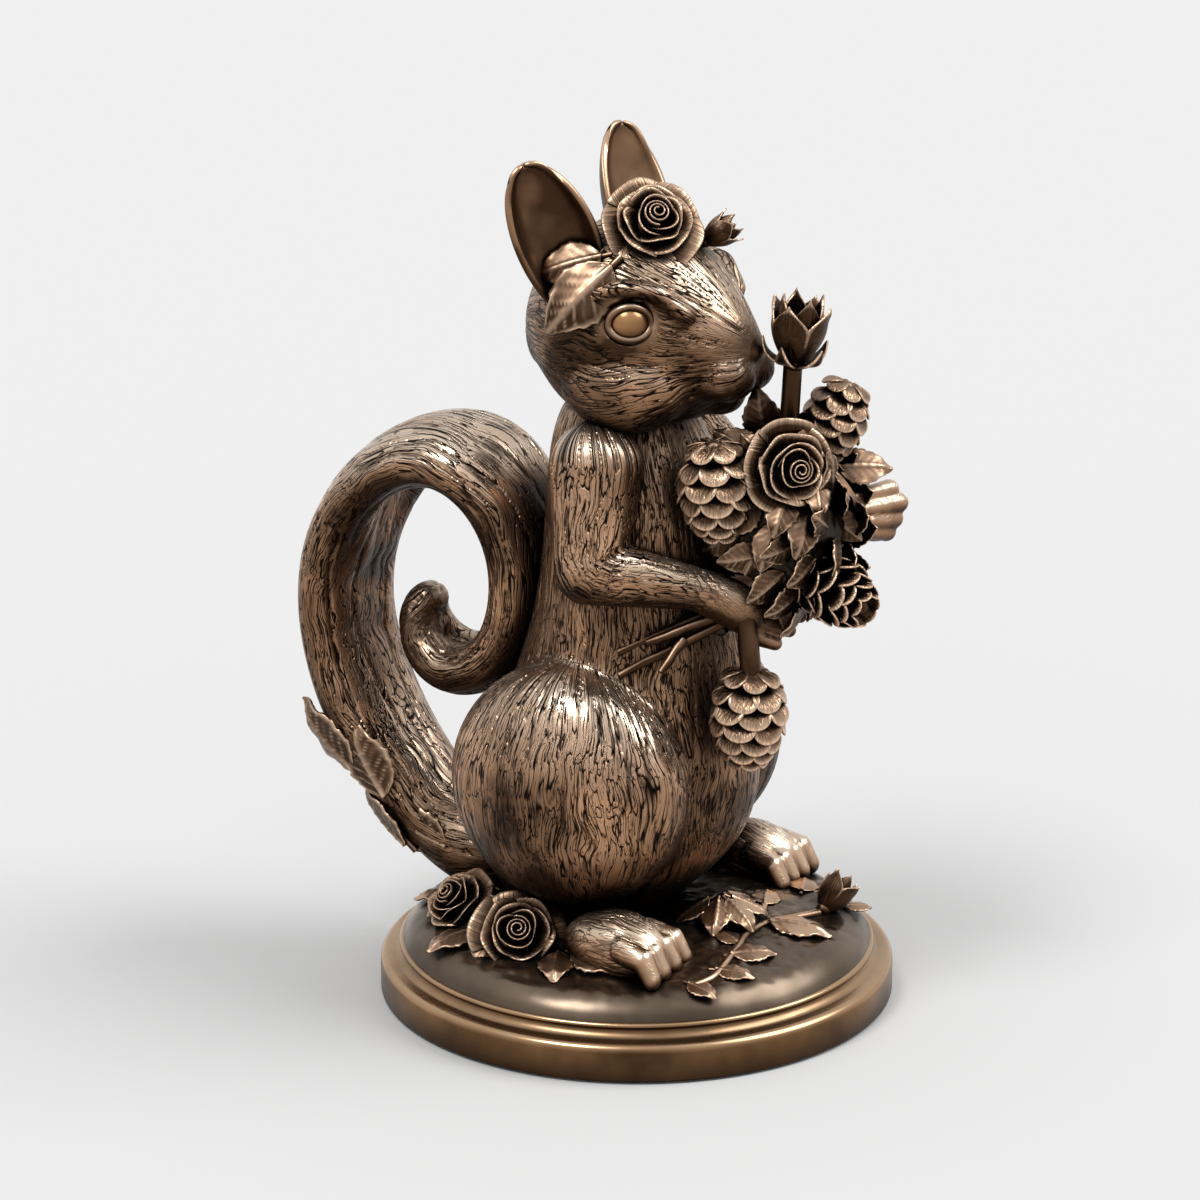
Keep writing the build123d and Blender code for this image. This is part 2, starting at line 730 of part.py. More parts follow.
with BuildPart() as left_ear:
    ear_root = on_head(*ear_root_shares)
    ear_plane = Plane(origin=ear_root, x_dir=ear_up.cross(ear_facing), z_dir=ear_facing)
    with BuildSketch(ear_plane) as ear_outline:
        with BuildLine():
            inner_edge = ThreePointArc(
                (-ear_width / 4, -ear_root_radius), (-ear_width / 2, ear_length / 3), (0, ear_length)
            )
            outer_edge = ThreePointArc(
                inner_edge @ 1, (ear_width / 2, ear_length / 3), (ear_width / 4, -ear_root_radius)
            )
            Line(outer_edge @ 1, inner_edge @ 0)
        make_face()
    extrude(amount=ear_cup_radius, both=True)
    cup_middle = Location((0, ear_cup_height_share * ear_length, ear_cup_radius))
    ear_ball = Solid.make_sphere(ear_cup_radius + ear_wall).moved(ear_plane.location * cup_middle)
    ear_hollow = Solid.make_sphere(ear_cup_radius).moved(ear_plane.location * cup_middle)
    add(ear_ball, mode=Mode.INTERSECT)
    add(ear_hollow, mode=Mode.SUBTRACT)
    spheroid(ear_root, ear_up, ear_root_radius * ear_root_stretch_share, ear_root_radius)
    seat(left_ear, [head])
left_ear.part.label = "left_ear"
export_step(left_ear.part, "parts/left_ear.step")

with BuildPart() as right_ear:
    mirror(left_ear.part, about=Plane.YZ)
right_ear.part.label = "right_ear"
export_step(right_ear.part, "parts/right_ear.step")

# Arms: upper arm, forearm, palm and four fingers. Places are shares of the torso,
# and each finger row gives its knuckle and its tip.
right_arm_shares = (
    (-0.60, 0.02, 0.93),
    (-0.86, -0.04, 0.745),
    (-0.52, -0.70, 0.710),
    (-0.30, -0.95, 0.668),
)
right_finger_shares = (
    ((-0.14, -1.06, 0.686), (0.00, -1.25, 0.668)),
    ((-0.20, -1.08, 0.662), (-0.03, -1.27, 0.642)),
    ((-0.26, -1.06, 0.638), (-0.10, -1.22, 0.616)),
    ((-0.33, -1.02, 0.618), (-0.20, -1.16, 0.594)),
)
left_arm_shares = (
    (0.60, 0.02, 0.93),
    (1.00, -0.45, 0.775),
    (0.90, -1.12, 0.785),
    (0.80, -1.46, 0.795),
)
left_finger_shares = (
    ((0.80, -1.57, 0.853), (0.44, -1.46, 0.857)),
    ((0.83, -1.63, 0.826), (0.46, -1.52, 0.834)),
    ((0.79, -1.61, 0.796), (0.50, -1.55, 0.808)),
    ((0.76, -1.57, 0.770), (0.54, -1.54, 0.783)),
)


def arm(joint_shares, finger_shares):
    """Add an arm through its joints, with the palm and the fingers at its end."""
    shoulder, elbow, wrist, palm = [on_torso(*shares) for shares in joint_shares]
    bone(shoulder, elbow, upper_arm_radius, elbow_radius)
    bone(elbow, wrist, elbow_radius, wrist_radius)
    bone(wrist, palm, wrist_radius, palm_radius)
    for knuckle_shares, tip_shares in finger_shares:
        knuckle = on_torso(*knuckle_shares)
        bone(palm, knuckle, finger_radius, finger_radius)
        bone(knuckle, on_torso(*tip_shares), finger_radius, finger_tip_radius)


with BuildPart() as right_arm:
    arm(right_arm_shares, right_finger_shares)
    seat(right_arm, [torso, head])
right_arm.part.label = "right_arm"
export_step(right_arm.part, "parts/right_arm.step")

with BuildPart() as left_arm:
    arm(left_arm_shares, left_finger_shares)
    seat(left_arm, [torso, head])
left_arm.part.label = "left_arm"
export_step(left_arm.part, "parts/left_arm.step")

# Hind feet: a rounded foot with four toes that arch down to the ground. Toe joints are
# shares of the foot radius, the foot length and the toe radius.
foot_place_shares = (1.1, -0.42)
foot_rise_share = 0.35
foot_heading = Vector(0.1, -1, 0)
toe_spread_shares = (-0.78, -0.27, 0.27, 0.78)
toe_joint_shares = ((0.90, -0.16, 0.7), (1.10, -0.42, 0.3), (1.15, -0.52, -0.9))

with BuildPart() as left_foot:
    foot_x = foot_place_shares[0] * torso_width / 2
    foot_y = foot_place_shares[1] * torso_depth / 2
    foot_z = ground_height(math.hypot(foot_x, foot_y)) + foot_rise_share * foot_radius
    foot_middle = Vector(foot_x, foot_y, foot_z)
    spheroid(foot_middle, foot_heading, foot_length / 2, foot_radius)
    for spread in toe_spread_shares:
        toe_joints = []
        for side_share, along_share, rise_share in toe_joint_shares:
            toe_side = spread * side_share * foot_radius
            joint_offset = Vector(toe_side, along_share * foot_length, rise_share * toe_radius)
            toe_joints.append(foot_middle + joint_offset)
        bone_chain(toe_joints, toe_radius, toe_tip_radius)
    seat(left_foot, [plinth_form, torso])
left_foot.part.label = "left_foot"
export_step(left_foot.part, "parts/left_foot.step")

with BuildPart() as right_foot:
    mirror(left_foot.part, about=Plane.YZ)
    seat(right_foot, [plinth_form, torso])
right_foot.part.label = "right_foot"
export_step(right_foot.part, "parts/right_foot.step")

# Tail: a broad scroll lofted along its spine, hollowed along its inner face.
# Spine rows give the reach behind the back and the rise above the root.
tail_spine_shares = (
    (-0.06, -0.06),
    (0.34, -0.02),
    (0.64, 0.17),
    (0.83, 0.40),
    (0.85, 0.63),
    (0.68, 0.85),
    (0.36, 0.97),
    (0.02, 0.89),
    (-0.10, 0.69),
    (0.00, 0.50),
    (0.26, 0.41),
    (0.44, 0.48),
    (0.40, 0.58),
)
tail_width_shares = (0.55, 0.75, 0.92, 1.0, 1.0, 1.0, 0.98, 0.92, 0.84, 0.74, 0.60, 0.42, 0.14)
tail_thickness_shares = (1.3, 1.25, 1.1, 1.0, 0.96, 0.94, 0.94, 0.94, 0.9, 0.82, 0.7, 0.5, 0.2)
trough_first_station = 3
trough_last_station = 11
trough_width_share = 0.74
trough_swell_shares = (0.55, 0.80, 0.94, 1.00, 1.00, 0.95, 0.86, 0.72, 0.40)

tail_spine_points = [
    tail_root + Vector(0, reach_share * tail_reach, rise_share * tail_rise)
    for reach_share, rise_share in tail_spine_shares
]
with BuildLine(Plane.YZ) as tail_spine:
    Spline([(point.Y, point.Z) for point in tail_spine_points])
tail_curve = tail_spine.edges()[0]
last_station = len(tail_spine_points) - 1


def tail_plane(point):
    """Plane across the tail at a point of its spine, X to the side, Y to the outer face."""
    travel = tail_curve.param_at_point(point)
    return Plane(origin=point, x_dir=(1, 0, 0), z_dir=tail_curve % travel)


with BuildPart() as tail_form:
    for station, point in enumerate(tail_spine_points):
        half_width = tail_width_shares[station] * tail_width / 2
        with BuildSketch(tail_plane(point)):
            Ellipse(half_width, tail_thickness_shares[station] * tail_thickness / 2)
    loft()

with BuildPart() as tail:
    add(tail_form.part, clean=False)
    for station in range(trough_first_station, trough_last_station + 1):
        across = tail_plane(tail_spine_points[station])
        swell = trough_swell_shares[station - trough_first_station]
        inner_face = across.y_dir * (-tail_thickness_shares[station] * tail_thickness / 2)
        trough_plane = Plane(origin=across.origin + inner_face, x_dir=(1, 0, 0), z_dir=across.z_dir)
        with BuildSketch(trough_plane):
            Ellipse(
                trough_width_share * tail_width_shares[station] * tail_width / 2 * swell,
                tail_trough_depth * tail_thickness_shares[station] * swell,
            )
    loft(mode=Mode.SUBTRACT)
    dowel_hole()
    seat(tail, [torso, plinth_form])
tail.part.label = "tail"
export_step(tail.part, "parts/tail.step")


def on_tail(station, around):
    """Point, outward way and forward way on the right flank of the tail at a station."""
    low = int(station)
    blend = station - low
    along = tail_spine_points[low + 1] - tail_spine_points[low]
    point = tail_spine_points[low] + along * blend
    across = Plane(origin=point, x_dir=(1, 0, 0), z_dir=along)
    half_width = tail_width_shares[low] * tail_width / 2
    half_thickness = tail_thickness_shares[low] * tail_thickness / 2
    angle = math.radians(around)
    side = across.x_dir * -math.cos(angle)
    rise = across.y_dir * math.sin(angle)
    outward = side / half_width + rise / half_thickness
    return point + side * half_width + rise * half_thickness, outward.normalized(), across.z_dir


# Sprig of long leaves that lie against the right flank of the tail
sprig_leaf_shares = (
    (1.9, 25, 0.12, 1.0),
    (1.5, 5, -0.25, 0.9),
    (1.0, 40, 0.15, 0.85),
    (0.7, 10, -0.2, 0.8),
)
sprig_sink_share = 0.04

with BuildPart() as tail_sprig:
    for station, around, turn, size_share in sprig_leaf_shares:
        origin, outward, along = on_tail(station, around)
        size = size_share * sprig_leaf_length
        sunk = origin - outward * (sprig_sink_share * size)
        place(leaf_form, size, sunk, outward, along + outward.cross(along) * turn)
    seat(tail_sprig, [tail_form, torso, plinth_form], len(sprig_leaf_shares))
tail_sprig.part.label = "tail_sprig"
export_step(tail_sprig.part, "parts/tail_sprig.step")

# Bouquet: a core of bound stems and moss that carries the flowers, cones and leaves
core_radius_share = 0.86
core_stem_shares = ((-0.5, 0.2, -0.7), (-0.1, 0.0, -0.8), (0.3, 0.1, -0.7))
core_stem_foot_shares = (-0.85, 0.6, -1.0)

with BuildPart() as bouquet_core:
    core_radius = core_radius_share * bouquet_width / 2
    spheroid(in_bouquet(0, 0, 0), Vector(0, 0, 1), bouquet_height / 2, core_radius)
    for stem_shares in core_stem_shares:
        stem_foot = in_bouquet(*core_stem_foot_shares)
        bone(in_bouquet(*stem_shares), stem_foot, core_stem_radius, stem_radius)
    seat(bouquet_core, [torso, head, right_arm, left_arm])
bouquet_core.part.label = "bouquet_core"
export_step(bouquet_core.part, "parts/bouquet_core.step")

bouquet_rose_place_shares = (-0.49, -0.24, 0.69)
bouquet_rose_facing = Vector(-0.62, -0.74, 0.2)

with BuildPart() as bouquet_rose:
    rose_place = in_bouquet(*bouquet_rose_place_shares)
    place(rose_form, bouquet_rose_radius, rose_place, bouquet_rose_facing)
    seat(bouquet_rose, [bouquet_core, head, right_arm, left_arm])
bouquet_rose.part.label = "bouquet_rose"
export_step(bouquet_rose.part, "parts/bouquet_rose.step")

bud_foot_shares = (-0.04, -0.13, 1.64)
bud_stem_foot_shares = (-0.04, -0.05, 0.7)
bud_facing = Vector(0.05, -0.12, 1)
sepals = 5
sepal_shares = ((0.04, 0.06), (0.33, 0.20), (0.335, 0.50), (0.47, 0.72))
sepal_radius = 1.2
sepal_tip_radius = 0.6

with BuildPart() as rosebud:
    bud_foot = in_bouquet(*bud_foot_shares)
    place(bud_form, bud_length, bud_foot, bud_facing)
    bud_plane = Plane(origin=bud_foot, z_dir=bud_facing)
    for k in range(sepals):
        angle = 2 * math.pi * (k + 0.5) / sepals
        outward = bud_plane.x_dir * math.cos(angle) + bud_plane.y_dir * math.sin(angle)
        sepal_path = [
            bud_foot + (outward * reach + bud_plane.z_dir * rise) * bud_length
            for reach, rise in sepal_shares
        ]
        bone_chain(sepal_path, sepal_radius, sepal_tip_radius)
    bone(in_bouquet(*bud_stem_foot_shares), bud_foot, stem_radius, stem_radius)
    seat(rosebud, [bouquet_core, bouquet_rose, head])
rosebud.part.label = "rosebud"
export_step(rosebud.part, "parts/rosebud.step")

left_cone_shares = (-1.05, 0.66, 1.0)
left_cone_heading = Vector(0.08, -0.06, -1)

with BuildPart() as pine_cone_left:
    place(cone_form, left_cone_length, in_bouquet(*left_cone_shares), left_cone_heading)
    seat(pine_cone_left, [bouquet_core, bouquet_rose])
pine_cone_left.part.label = "pine_cone_left"
export_step(pine_cone_left.part, "parts/pine_cone_left.step")

upper_cone_shares = (0.72, -0.70, 1.42)
upper_cone_heading = Vector(-0.2, 0.3, -0.9)

with BuildPart() as pine_cone_upper:
    place(cone_form, upper_cone_length, in_bouquet(*upper_cone_shares), upper_cone_heading)
    seat(pine_cone_upper, [bouquet_core, bouquet_rose, rosebud])
pine_cone_upper.part.label = "pine_cone_upper"
export_step(pine_cone_upper.part, "parts/pine_cone_upper.step")

lower_cone_shares = (-0.08, -0.32, -0.46)
lower_cone_heading = Vector(-0.2, -0.85, -0.25)

with BuildPart() as pine_cone_lower:
    place(cone_form, lower_cone_length, in_bouquet(*lower_cone_shares), lower_cone_heading)
    seat(pine_cone_lower, [bouquet_core, right_arm, left_arm])
pine_cone_lower.part.label = "pine_cone_lower"
export_step(pine_cone_lower.part, "parts/pine_cone_lower.step")

hanging_stem_top_shares = (-0.78, 0.08, -0.48)
hanging_cone_top_shares = (-0.96, 0.04, -1.36)
hanging_cone_heading = Vector(0, 0.04, -1)

with BuildPart() as pine_cone_hanging:
    stem_foot = in_bouquet(*hanging_cone_top_shares)
    place(cone_form, hanging_cone_length, stem_foot, hanging_cone_heading)
    bone(in_bouquet(*hanging_stem_top_shares), stem_foot, stem_radius, cone_stem_radius)
    seat(pine_cone_hanging, [bouquet_core, right_arm])
pine_cone_hanging.part.label = "pine_cone_hanging"
export_step(pine_cone_hanging.part, "parts/pine_cone_hanging.step")

# Cut sticks held under the right paw
stick_shares = (
    ((-0.75, 0.35, -0.72), (-1.55, 1.95, -1.28)),
    ((-0.80, 0.30, -0.86), (-1.62, 1.90, -1.50)),
    ((-0.85, 0.35, -0.80), (-1.50, 1.50, -1.14)),
    ((-1.20, 1.05, -1.12), (-1.62, 1.20, -1.40)),
)

with BuildPart() as twig_bundle:
    for root_shares, tip_shares in stick_shares:
        bone(in_bouquet(*root_shares), in_bouquet(*tip_shares), stick_radius, stick_tip_radius)
    seat(twig_bundle, [bouquet_core, right_arm, pine_cone_hanging, torso])
twig_bundle.part.label = "twig_bundle"
export_step(twig_bundle.part, "parts/twig_bundle.step")

# Room kept for the flowers, which the leaves are cut back to
room_shares = (
    ((-0.64, -0.42, 0.73), (-0.62, -0.74, 0.2), 0.30, 0.50),
    ((-1.02, 0.63, 0.48), (0.08, -0.06, -1), 0.53, 0.42),
    ((0.62, -0.52, 0.95), (-0.2, 0.3, -0.9), 0.45, 0.36),
    ((-0.20, -0.88, -0.60), (-0.2, -0.85, -0.25), 0.45, 0.37),
)

with BuildPart() as flower_room:
    for middle_shares, axis_shares, length_share, radius_share in room_shares:
        half_length = length_share * left_cone_length
        radius = radius_share * left_cone_length
        spheroid(in_bouquet(*middle_shares), Vector(*axis_shares), half_length, radius)
    bone(in_bouquet(*bud_stem_foot_shares), in_bouquet(*bud_foot_shares), stem_radius, stem_radius)

# Leaves between the flowers. Each row gives the root, the way the face looks,
# the way the leaf points, and its share of the leaf length.
bouquet_leaf_shares = (
    ((0.62, -0.50, 0.50), (-0.5, -0.5, 0.7), (0.62, -0.7, -0.1), 1.0),
    ((0.05, 0.35, 0.80), (-0.8, -0.5, 0.1), (-0.1, 0.15, 1), 0.95),
    ((-0.60, 0.0, 0.12), (-0.8, -0.5, 0.3), (-0.3, 0.25, -0.9), 0.95),
    ((-0.45, 0.2, 0.72), (-0.7, -0.4, 0.5), (-0.4, 0.6, 0.6), 0.9),
    ((0.10, -0.60, 0.15), (-0.8, -0.5, 0.2), (0.4, -0.6, -0.6), 0.8),
    ((-0.55, -0.2, -0.2), (-0.8, -0.6, 0.1), (0.2, -0.2, -1), 0.8),
    ((0.75, 0.2, 0.2), (0.9, 0.2, 0.3), (0.3, -0.2, -1), 0.95),
    ((0.60, 0.45, 0.62), (0.7, 0.2, 0.6), (0.5, 0.5, 0.5), 0.9),
)

with BuildPart() as bouquet_leaves:
    for root_shares, face_shares, point_shares, size_share in bouquet_leaf_shares:
        size = size_share * bouquet_leaf_length
        place(leaf_form, size, in_bouquet(*root_shares), Vector(*face_shares), Vector(*point_shares))
    seat(
        bouquet_leaves,
        [bouquet_core, flower_room, right_arm, left_arm, head, torso],
        len(bouquet_leaf_shares),
    )
bouquet_leaves.part.label = "bouquet_leaves"
export_step(bouquet_leaves.part, "parts/bouquet_leaves.step")

# Crown on the head: an open rose, a small bud and two leaves by the right ear
crown_rose_shares = (-0.17, -0.27, 0.94)
crown_rose_facing = Vector(-0.55, -0.5, 0.66)

with BuildPart() as crown_rose:
    place(rose_form, crown_rose_radius, on_head(*crown_rose_shares), crown_rose_facing)
    seat(crown_rose, [head, right_ear, left_ear])
crown_rose.part.label = "crown_rose"
export_step(crown_rose.part, "parts/crown_rose.step")

crown_bud_shares = (0.16, -0.60, 0.80)
crown_bud_facing = Vector(0.45, -0.75, 0.5)

with BuildPart() as crown_bud:
    place(bud_form, crown_bud_length, on_head(*crown_bud_shares), crown_bud_facing)
    seat(crown_bud, [head, crown_rose])
crown_bud.part.label = "crown_bud"
export_step(crown_bud.part, "parts/crown_bud.step")

crown_leaf_shares = (
    ((-0.72, -0.16, 0.70), (-0.86, -0.36, 0.35), (-0.2, 0.62, -0.76), 1.0),
    ((-0.66, -0.05, 0.76), (-0.80, -0.20, 0.55), (-0.4, 0.85, -0.30), 0.75),
)

with BuildPart() as crown_leaf:
    for root_shares, face_shares, point_shares, size_share in crown_leaf_shares:
        size = size_share * crown_leaf_length
        place(leaf_form, size, on_head(*root_shares), Vector(*face_shares), Vector(*point_shares))
    seat(crown_leaf, [head, right_ear, crown_rose, right_eye])
crown_leaf.part.label = "crown_leaf"
export_step(crown_leaf.part, "parts/crown_leaf.step")

# Roses and leaves round the plinth
front_rose_place = on_ground(0.67, 160, 0.06 * base_rose_front_radius)
front_rose_facing = Vector(-0.72, -0.36, 0.6)
rear_rose_place = on_ground(0.74, 126, 0.1 * base_rose_rear_radius)
rear_rose_facing = Vector(-0.6, 0.35, 0.72)

with BuildPart() as base_rose_front:
    place(rose_form, base_rose_front_radius, front_rose_place, front_rose_facing)
    seat(base_rose_front, [plinth_form, torso, right_foot])
base_rose_front.part.label = "base_rose_front"
export_step(base_rose_front.part, "parts/base_rose_front.step")

with BuildPart() as base_rose_rear:
    place(rose_form, base_rose_rear_radius, rear_rose_place, rear_rose_facing)
    seat(base_rose_rear, [plinth_form, torso, base_rose_front])
base_rose_rear.part.label = "base_rose_rear"
export_step(base_rose_rear.part, "parts/base_rose_rear.step")

# Room kept for the two roses, which the leaves round them are cut back to
rose_room_share = 0.96

with BuildPart() as rose_room:
    for rose_place, radius, facing in (
        (front_rose_place, base_rose_front_radius, front_rose_facing),
        (rear_rose_place, base_rose_rear_radius, rear_rose_facing),
    ):
        spheroid(rose_place + facing * (radius / 2), facing, radius / 2, radius * rose_room_share)

# Each row gives the root of a leaf, by its share of the ground radius and its bearing,
# then the bearing the leaf points along and its share of the leaf length
base_leaf_shares = (
    (0.74, 143, 146, 1.0),
    (0.74, 108, 108, 0.95),
    (0.66, -176, -104, 1.1),
    (0.68, 179, -158, 0.9),
    (0.62, 106, 70, 1.0),
)

with BuildPart() as base_leaves:
    for reach_share, bearing, heading, size_share in base_leaf_shares:
        place_on_ground(leaf_form, size_share * base_leaf_length, reach_share, bearing, heading)
    seat(base_leaves, [plinth_form, rose_room, right_foot, torso, tail], len(base_leaf_shares))
base_leaves.part.label = "base_leaves"
export_step(base_leaves.part, "parts/base_leaves.step")

# Low vine over the front of the ground, with its leaves and its bud
vine_stem_shares = (
    (0.88, -137),
    (0.835, -130),
    (0.745, -122),
    (0.66, -112),
    (0.616, -105),
    (0.60, -96),
    (0.615, -87),
    (0.70, -76),
    (0.78, -68),
)
vine_branch_shares = ((0.605, -92), (0.565, -82), (0.55, -72))
vine_leaf_shares = (
    (0.86, -138, -103, 0.9),
    (0.79, -128, -75, 1.0),
    (0.71, -119, -48, 1.2),
    (0.62, -88, -72, 1.6),
    (0.655, -111, 75, 0.9),
    (0.55, -72, 22, 1.1),
    (0.72, -52, 20, 1.1),
    (0.80, -50, -22, 1.1),
    (0.88, -60, -35, 0.9),
)

with BuildPart() as base_vine:
    for stem_shares in (vine_stem_shares, vine_branch_shares):
        stem_points = [on_ground(*shares, vine_lift) for shares in stem_shares]
        bone_chain(stem_points, vine_radius, vine_radius)
    seat(base_vine, [plinth_form, right_foot])
base_vine.part.label = "base_vine"
export_step(base_vine.part, "parts/base_vine.step")

vine_bud_shares = (0.79, -67)
vine_bud_facing = Vector(0.62, -0.2, 0.5)

with BuildPart() as vine_bud:
    place(bud_form, vine_bud_length, on_ground(*vine_bud_shares), vine_bud_facing)
    seat(vine_bud, [plinth_form, base_vine])
vine_bud.part.label = "vine_bud"
export_step(vine_bud.part, "parts/vine_bud.step")

with BuildPart() as vine_leaves:
    for reach_share, bearing, heading, size_share in vine_leaf_shares:
        place_on_ground(leaf_form, size_share * vine_leaf_length, reach_share, bearing, heading)
    seat(
        vine_leaves,
        [plinth_form, base_vine, vine_bud, right_foot, left_foot],
        len(vine_leaf_shares),
    )
vine_leaves.part.label = "vine_leaves"
export_step(vine_leaves.part, "parts/vine_leaves.step")

# Leafy cluster between the feet: a mossy stone with leaves that hang down round it
foliage_bearings = (-160, -112, -64, -16, 145)
foliage_place_shares = (0.42, -96)
foliage_core_shares = (0.6, 0.45)
foliage_root_shares = (0.22, 0.40)
foliage_facing_share = 0.5

with BuildPart() as foliage_cluster:
    cluster_foot = on_ground(*foliage_place_shares)
    core_length, core_radius = [share * foliage_leaf_length for share in foliage_core_shares]
    root_reach, root_rise = [share * foliage_leaf_length for share in foliage_root_shares]
    spheroid(cluster_foot, Vector(1, 0, 0), core_length, core_radius)
    for bearing in foliage_bearings:
        angle = math.radians(bearing)
        outward = Vector(math.cos(angle), math.sin(angle), 0)
        leaf_root = cluster_foot + outward * root_reach + Vector(0, 0, root_rise)
        facing = outward * foliage_facing_share + Vector(0, 0, 1)
        place(leaf_form, foliage_leaf_length, leaf_root, facing, outward)
    seat(foliage_cluster, [plinth_form, torso])
foliage_cluster.part.label = "foliage_cluster"
export_step(foliage_cluster.part, "parts/foliage_cluster.step")
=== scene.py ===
import math
import random

import bpy
import numpy as np
from mathutils import Matrix, Vector, noise


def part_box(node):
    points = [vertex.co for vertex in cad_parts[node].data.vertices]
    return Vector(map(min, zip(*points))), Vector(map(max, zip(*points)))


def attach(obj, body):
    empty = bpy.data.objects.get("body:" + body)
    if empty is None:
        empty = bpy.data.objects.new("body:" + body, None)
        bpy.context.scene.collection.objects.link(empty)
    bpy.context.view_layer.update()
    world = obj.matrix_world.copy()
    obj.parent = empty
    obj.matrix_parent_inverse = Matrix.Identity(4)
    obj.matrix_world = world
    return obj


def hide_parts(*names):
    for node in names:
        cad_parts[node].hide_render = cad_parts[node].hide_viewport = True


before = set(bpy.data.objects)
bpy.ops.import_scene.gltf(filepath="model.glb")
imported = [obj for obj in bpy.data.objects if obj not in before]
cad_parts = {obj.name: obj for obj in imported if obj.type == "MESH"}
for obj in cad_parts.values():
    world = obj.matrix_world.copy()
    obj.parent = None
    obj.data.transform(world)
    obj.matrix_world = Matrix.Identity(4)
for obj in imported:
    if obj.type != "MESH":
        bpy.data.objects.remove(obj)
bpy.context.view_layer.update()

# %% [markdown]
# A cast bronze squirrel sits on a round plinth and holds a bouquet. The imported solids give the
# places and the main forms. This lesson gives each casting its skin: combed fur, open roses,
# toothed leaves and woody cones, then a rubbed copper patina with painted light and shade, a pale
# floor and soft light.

MM = 0.001
random.seed(7)
noise.seed_set(7)
print("frame holds", len(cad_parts), "nodes")

# %% [markdown]
# The camera stands where the photographer stood: to the squirrel's right, a little above, with
# a long lens. Its place was found from the ellipse of the plinth, and it looks straight at a
# point inside the chest, so no shift is needed.

# %% Camera
camera_at = Vector((-1477.67, -772.16, 690.02)) * MM
aim = Vector((29.51, 29.22, 118.87)) * MM
camera_data = bpy.data.cameras.new("camera")
camera_data.lens = 165
camera_data.sensor_width = 36
camera_data.clip_end = 50
camera = bpy.data.objects.new("camera", camera_data)
bpy.context.collection.objects.link(camera)
camera.location = camera_at
camera.rotation_euler = (aim - camera_at).to_track_quat("-Z", "Y").to_euler()
bpy.context.scene.camera = camera
print("camera is", round((aim - camera_at).length, 2), "m away")

# %% [markdown]
# Most of the work is the same few steps by hand: select one piece, add a modifier, apply it.
# These helpers do that, so each later cell can speak about the piece itself. The voxel Remesh
# in soften turns loose CAD facets into one even skin, which then smooths well.


# %% Helpers for selecting and finishing pieces
def choose(piece):
    """Make one piece the only selected and active one."""
    bpy.ops.object.select_all(action="DESELECT")
    piece.select_set(True)
    bpy.context.view_layer.objects.active = piece


def use_modifier(piece, kind, **settings):
    """Add a modifier with these settings and apply it."""
    choose(piece)
    modifier = piece.modifiers.new(kind.lower(), kind)
    for name, value in settings.items():
        setattr(modifier, name, value)
    bpy.ops.object.modifier_apply(modifier=modifier.name)


def join_into(piece, extra):
    """Join a second object into a piece, which keeps its name."""
    choose(piece)
    extra.select_set(True)
    bpy.ops.object.join()


def cast_copy(title, node):
    """A merged copy of a CAD node's mesh, as the start of a new piece."""
    piece = bpy.data.objects.new(title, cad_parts[node].data.copy())
    piece.data.materials.clear()
    bpy.context.collection.objects.link(piece)
    choose(piece)
    bpy.ops.object.mode_set(mode="EDIT")
    bpy.ops.mesh.select_all(action="SELECT")
    bpy.ops.mesh.remove_doubles(threshold=0.01 * MM)
    bpy.ops.object.mode_set(mode="OBJECT")
    return piece


def soften(piece, voxel, rounds):
    """Rebuild a piece as an even skin and smooth its creases like rubbed wax."""
    use_modifier(piece, "REMESH", mode="VOXEL", voxel_size=voxel * MM)
    use_modifier(piece, "SMOOTH", factor=0.5, iterations=rounds)


def points_of(piece):
    """All points of a piece as an array in millimetres."""
    flat = np.empty(len(piece.data.vertices) * 3)
    piece.data.vertices.foreach_get("co", flat)
    return flat.reshape(-1, 3) / MM


def normals_of(piece):
    """All point normals of a piece as an array."""
    flat = np.empty(len(piece.data.vertices) * 3)
    piece.data.vertices.foreach_get("normal", flat)
    return flat.reshape(-1, 3)


def keep_values(piece, name, values):
    """Store one number or one vector for each point, for the materials to read."""
    kind, field = ("FLOAT_VECTOR", "vector") if values.ndim == 2 else ("FLOAT", "value")
    layer = piece.data.attributes.new(name, kind, "POINT")
    layer.data.foreach_set(field, values.astype(np.float32).ravel())


def move_points(piece, places):
    """Put the points of a piece at these places, in millimetres."""
    piece.data.vertices.foreach_set("co", (places * MM).ravel())
    piece.data.update()


def finish_piece(piece, material, slot, *nodes):
    """Shade a piece, give it a material unless it has its own, and let it stand for nodes."""
    choose(piece)
    bpy.ops.object.shade_smooth()
    if material:
        piece.data.materials.clear()
        piece.data.materials.append(material)
    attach(piece, "root")
    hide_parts(*nodes)
    print(piece.name, len(piece.data.polygons), "faces")


print("helpers ready")

# %% [markdown]
# A material is a net of nodes. Adding and wiring them one by one is slow to read, so these
# helpers add a node with its options and inputs in one line, and make a group with named sockets.


# %% Node helpers
def socket_in(tree, node, name, value):
    """Plug a link or set a plain value on one input."""
    target = node.inputs[name]
    if hasattr(value, "links"):
        tree.links.new(value, target)
    else:
        target.default_value = value


def add_node(tree, kind, settings=None, **inputs):
    """Add a node, set its options, and fill its inputs by number or name."""
    node = tree.nodes.new(kind)
    for name, value in (settings or {}).items():
        setattr(node, name, value)
    for name, value in inputs.items():
        key = int(name[1:]) if name[0] == "i" and name[1:].isdigit() else name.replace("_", " ")
        socket_in(tree, node, key, value)
    return node


def maths(tree, operation, first, second=0.0, clamp=False):
    """One Math node's result."""
    settings = {"operation": operation, "use_clamp": clamp}
    return add_node(tree, "ShaderNodeMath", settings, i0=first, i1=second).outputs[0]


